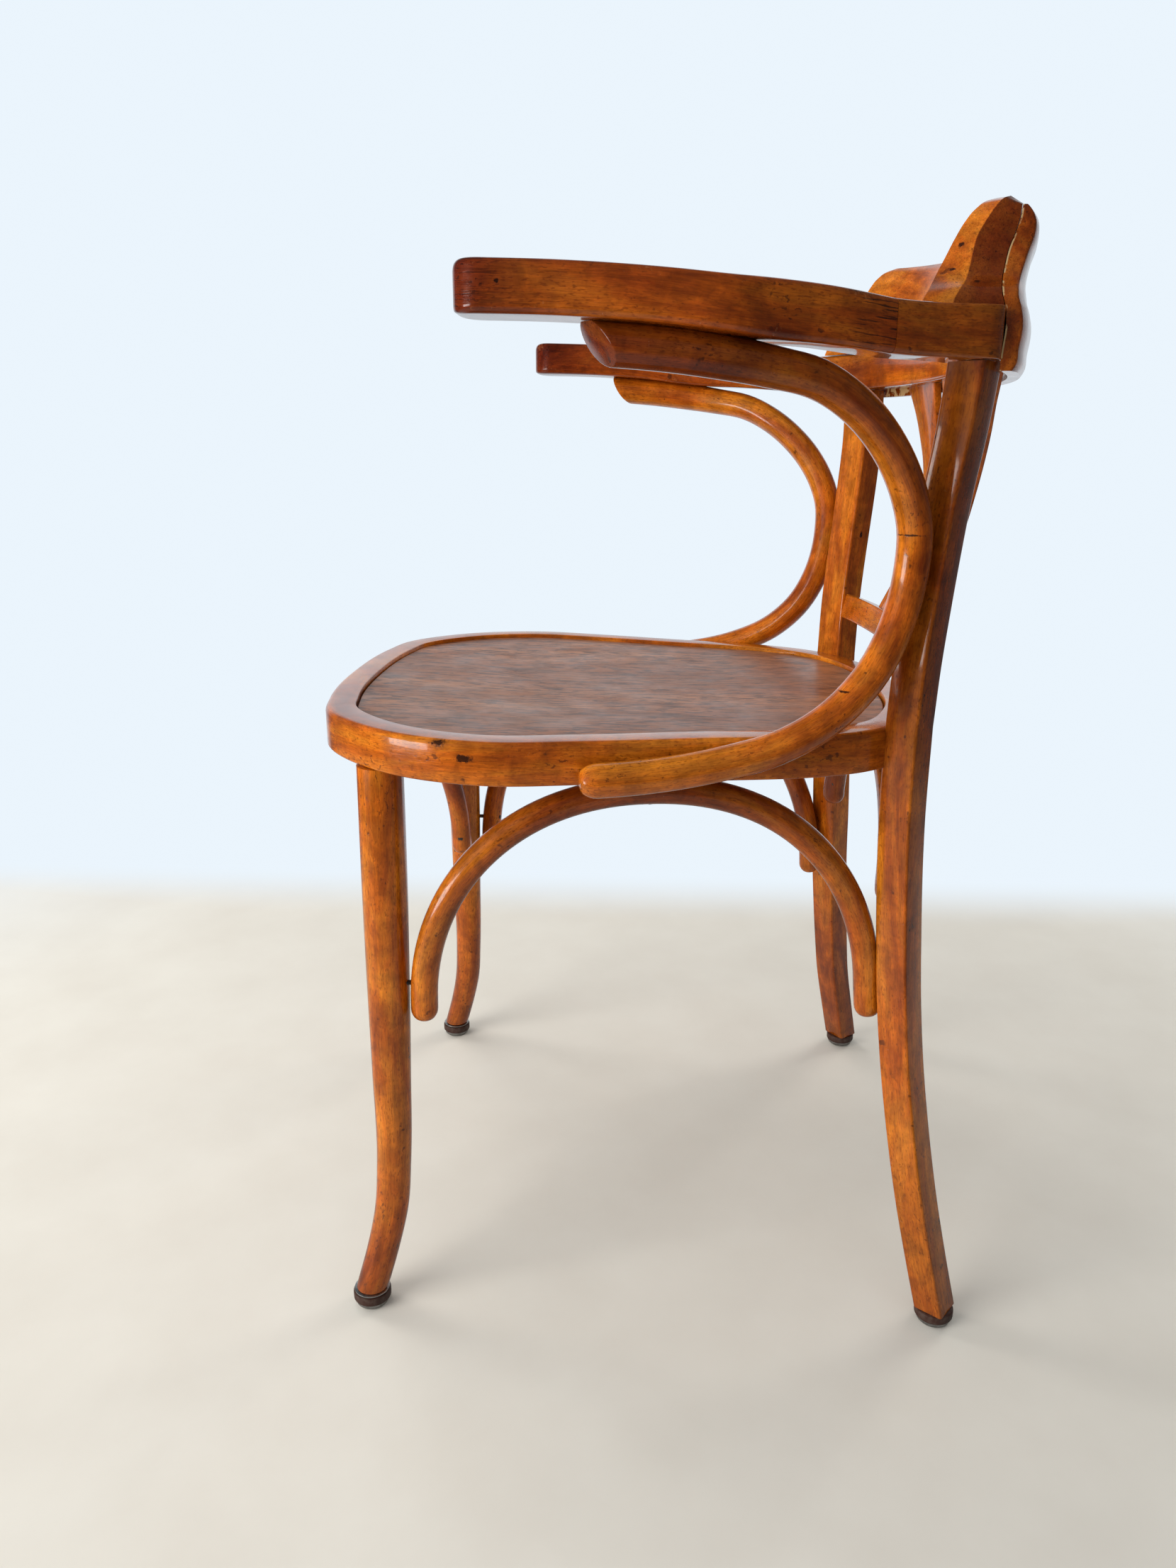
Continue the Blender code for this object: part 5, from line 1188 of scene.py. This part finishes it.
# Screws and dowels: dark steel wood screws with domed heads, and plain beech dowels. Most of
# them are hidden inside the joints.
screw_steel = plain_finish("screw_steel_aged", (0.16, 0.145, 0.13), 0.35, 1.0, 0.3, (0.05, 0.02, 0.01), 0.7)
dowel_beech = plain_finish("dowel_beech_raw", (0.50, 0.33, 0.18), 0.6, 0.0, 0.2, (0.30, 0.18, 0.09), 0.5)
for name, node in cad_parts.items():
    if "_screw_" in name or "_dowel_" in name:
        node.material_slots[0].material = screw_steel if "_screw_" in name else dowel_beech

# Stage: a plain pale floor that fades into the wall's colour farther off, soft windows of
# light, a bright wall that gleams in the shellac, and the camera where the photographer stood.
WALL = (0.83, 0.91, 0.98)
WALL_SHEEN = (-0.80, -0.62, 0.75, 0.06)
FLOOR_RADIUS = 6.0

pale_floor, shader, ground = new_finish("pale_floor")
speckle = ramp(pale_floor, cloud(pale_floor, ground, 9.0, 5.0), (
    (0.3, (0.70, 0.655, 0.575)), (0.7, (0.74, 0.70, 0.62)),
))
distance = measured(pale_floor, 'LENGTH', ground)
ground_x = add_node(pale_floor, 'ShaderNodeSeparateXYZ', {"Vector": ground}).outputs["X"]
away = calculated(pale_floor, 'MAXIMUM', spanned(pale_floor, distance, 0.75, 1.9, ease='SMOOTHSTEP'),
                  spanned(pale_floor, ground_x, -0.56, -0.76, ease='SMOOTHSTEP'))
seen = add_node(pale_floor, 'ShaderNodeLightPath')
sheen = spanned(pale_floor, calculated(pale_floor, 'DIVIDE', ground_x, distance), *WALL_SHEEN)
glow = calculated(pale_floor, 'MAXIMUM', sheen, seen.outputs["Is Camera Ray"])
dimmed = calculated(pale_floor, 'MULTIPLY', seen.outputs["Is Glossy Ray"], 0.6)
put(pale_floor, shader, {
    "Base Color": mixed(pale_floor, dimmed, speckle, (0.05, 0.05, 0.05)),
    "Roughness": 0.6, "Specular IOR Level": 0.2,
})
haze = add_node(pale_floor, 'ShaderNodeEmission', {"Color": (*WALL, 1.0), "Strength": glow})
fade = add_node(pale_floor, 'ShaderNodeMixShader', {0: away, 1: shader.outputs[0], 2: haze.outputs[0]})
put(pale_floor, pale_floor.node_tree.nodes["Material Output"], {"Surface": fade.outputs[0]})
disc = bmesh.new()
bmesh.ops.create_circle(disc, cap_ends=True, segments=96, radius=FLOOR_RADIUS)
floor_mesh = bpy.data.meshes.new("studio_floor")
disc.to_mesh(floor_mesh)
disc.free()
floor_mesh.materials.append(pale_floor)
floor = bpy.data.objects.new("studio_floor", floor_mesh)
bpy.context.scene.collection.objects.link(floor)

world = bpy.data.worlds.new("studio")
bpy.context.scene.world = world
world.use_nodes = True
world.node_tree.nodes.clear()
way = add_node(world, 'ShaderNodeTexCoord').outputs["Generated"]
lit = spanned(world, measured(world, 'DOT_PRODUCT', way, (0.25, -0.80, 0.55)), -0.35, 0.8, 0.08, 0.80)
way_x = add_node(world, 'ShaderNodeSeparateXYZ', {"Vector": way}).outputs["X"]
seen = add_node(world, 'ShaderNodeLightPath')
level = add_node(world, 'ShaderNodeMix', {
    0: seen.outputs["Is Glossy Ray"], 2: lit, 3: spanned(world, way_x, *WALL_SHEEN),
}).outputs[0]
room = add_node(world, 'ShaderNodeBackground', {"Color": (0.88, 0.94, 1.0, 1.0), "Strength": level})
wall = add_node(world, 'ShaderNodeBackground', {"Color": (*WALL, 1.0)})
either = add_node(world, 'ShaderNodeMixShader', {
    0: seen.outputs["Is Camera Ray"], 1: room.outputs[0], 2: wall.outputs[0],
})
add_node(world, 'ShaderNodeOutputWorld', {"Surface": either.outputs[0]})


def lamp(name, place, size, power):
    """Soft window of light that faces the chair."""
    data = bpy.data.lights.new(name, 'AREA')
    data.shape = 'RECTANGLE'
    data.size, data.size_y = size
    data.energy = power
    data.color = (1.0, 0.985, 0.96)
    light = bpy.data.objects.new(name, data)
    light.location = place
    light.rotation_euler = (Vector((0.0, 0.0, 0.5)) - Vector(place)).to_track_quat('-Z', 'Y').to_euler()
    bpy.context.scene.collection.objects.link(light)
    return light


lamp("sunny_sill", (1.3, -2.1, 0.30), (1.1, 0.5), 12.0)
for name, place, size, power in (
        ("garden_door", (1.5, -2.0, 1.15), (1.6, 1.9), 52.0),
        ("side_window", (-0.9, -2.3, 1.0), (0.7, 1.3), 18.0),
        ("high_window", (-0.9, -0.8, 2.3), (0.7, 0.7), 8.0),
        ("back_window", (-1.6, 1.8, 1.3), (1.2, 1.2), 26.0)):
    lamp(name, place, size, power).visible_glossy = False

lens = bpy.data.cameras.new("photo_camera")
lens.sensor_fit = 'AUTO'
lens.sensor_width = 36.0
lens.lens = 26.10
lens.clip_start = 0.01
camera = bpy.data.objects.new("photo_camera", lens)
right = Vector((-0.04349556, 0.99904813, 0.00331163))
upward = Vector((-0.28265302, -0.01548507, 0.95909722))
backward = Vector((0.95823557, 0.04078043, 0.2830575))
camera_turn = Matrix((right, upward, backward)).transposed().to_4x4()
camera.matrix_world = Matrix.Translation((0.98601, -0.01783, 0.66753)) @ camera_turn
bpy.context.scene.collection.objects.link(camera)
bpy.context.scene.camera = camera
bpy.context.scene.view_settings.view_transform = 'Standard'
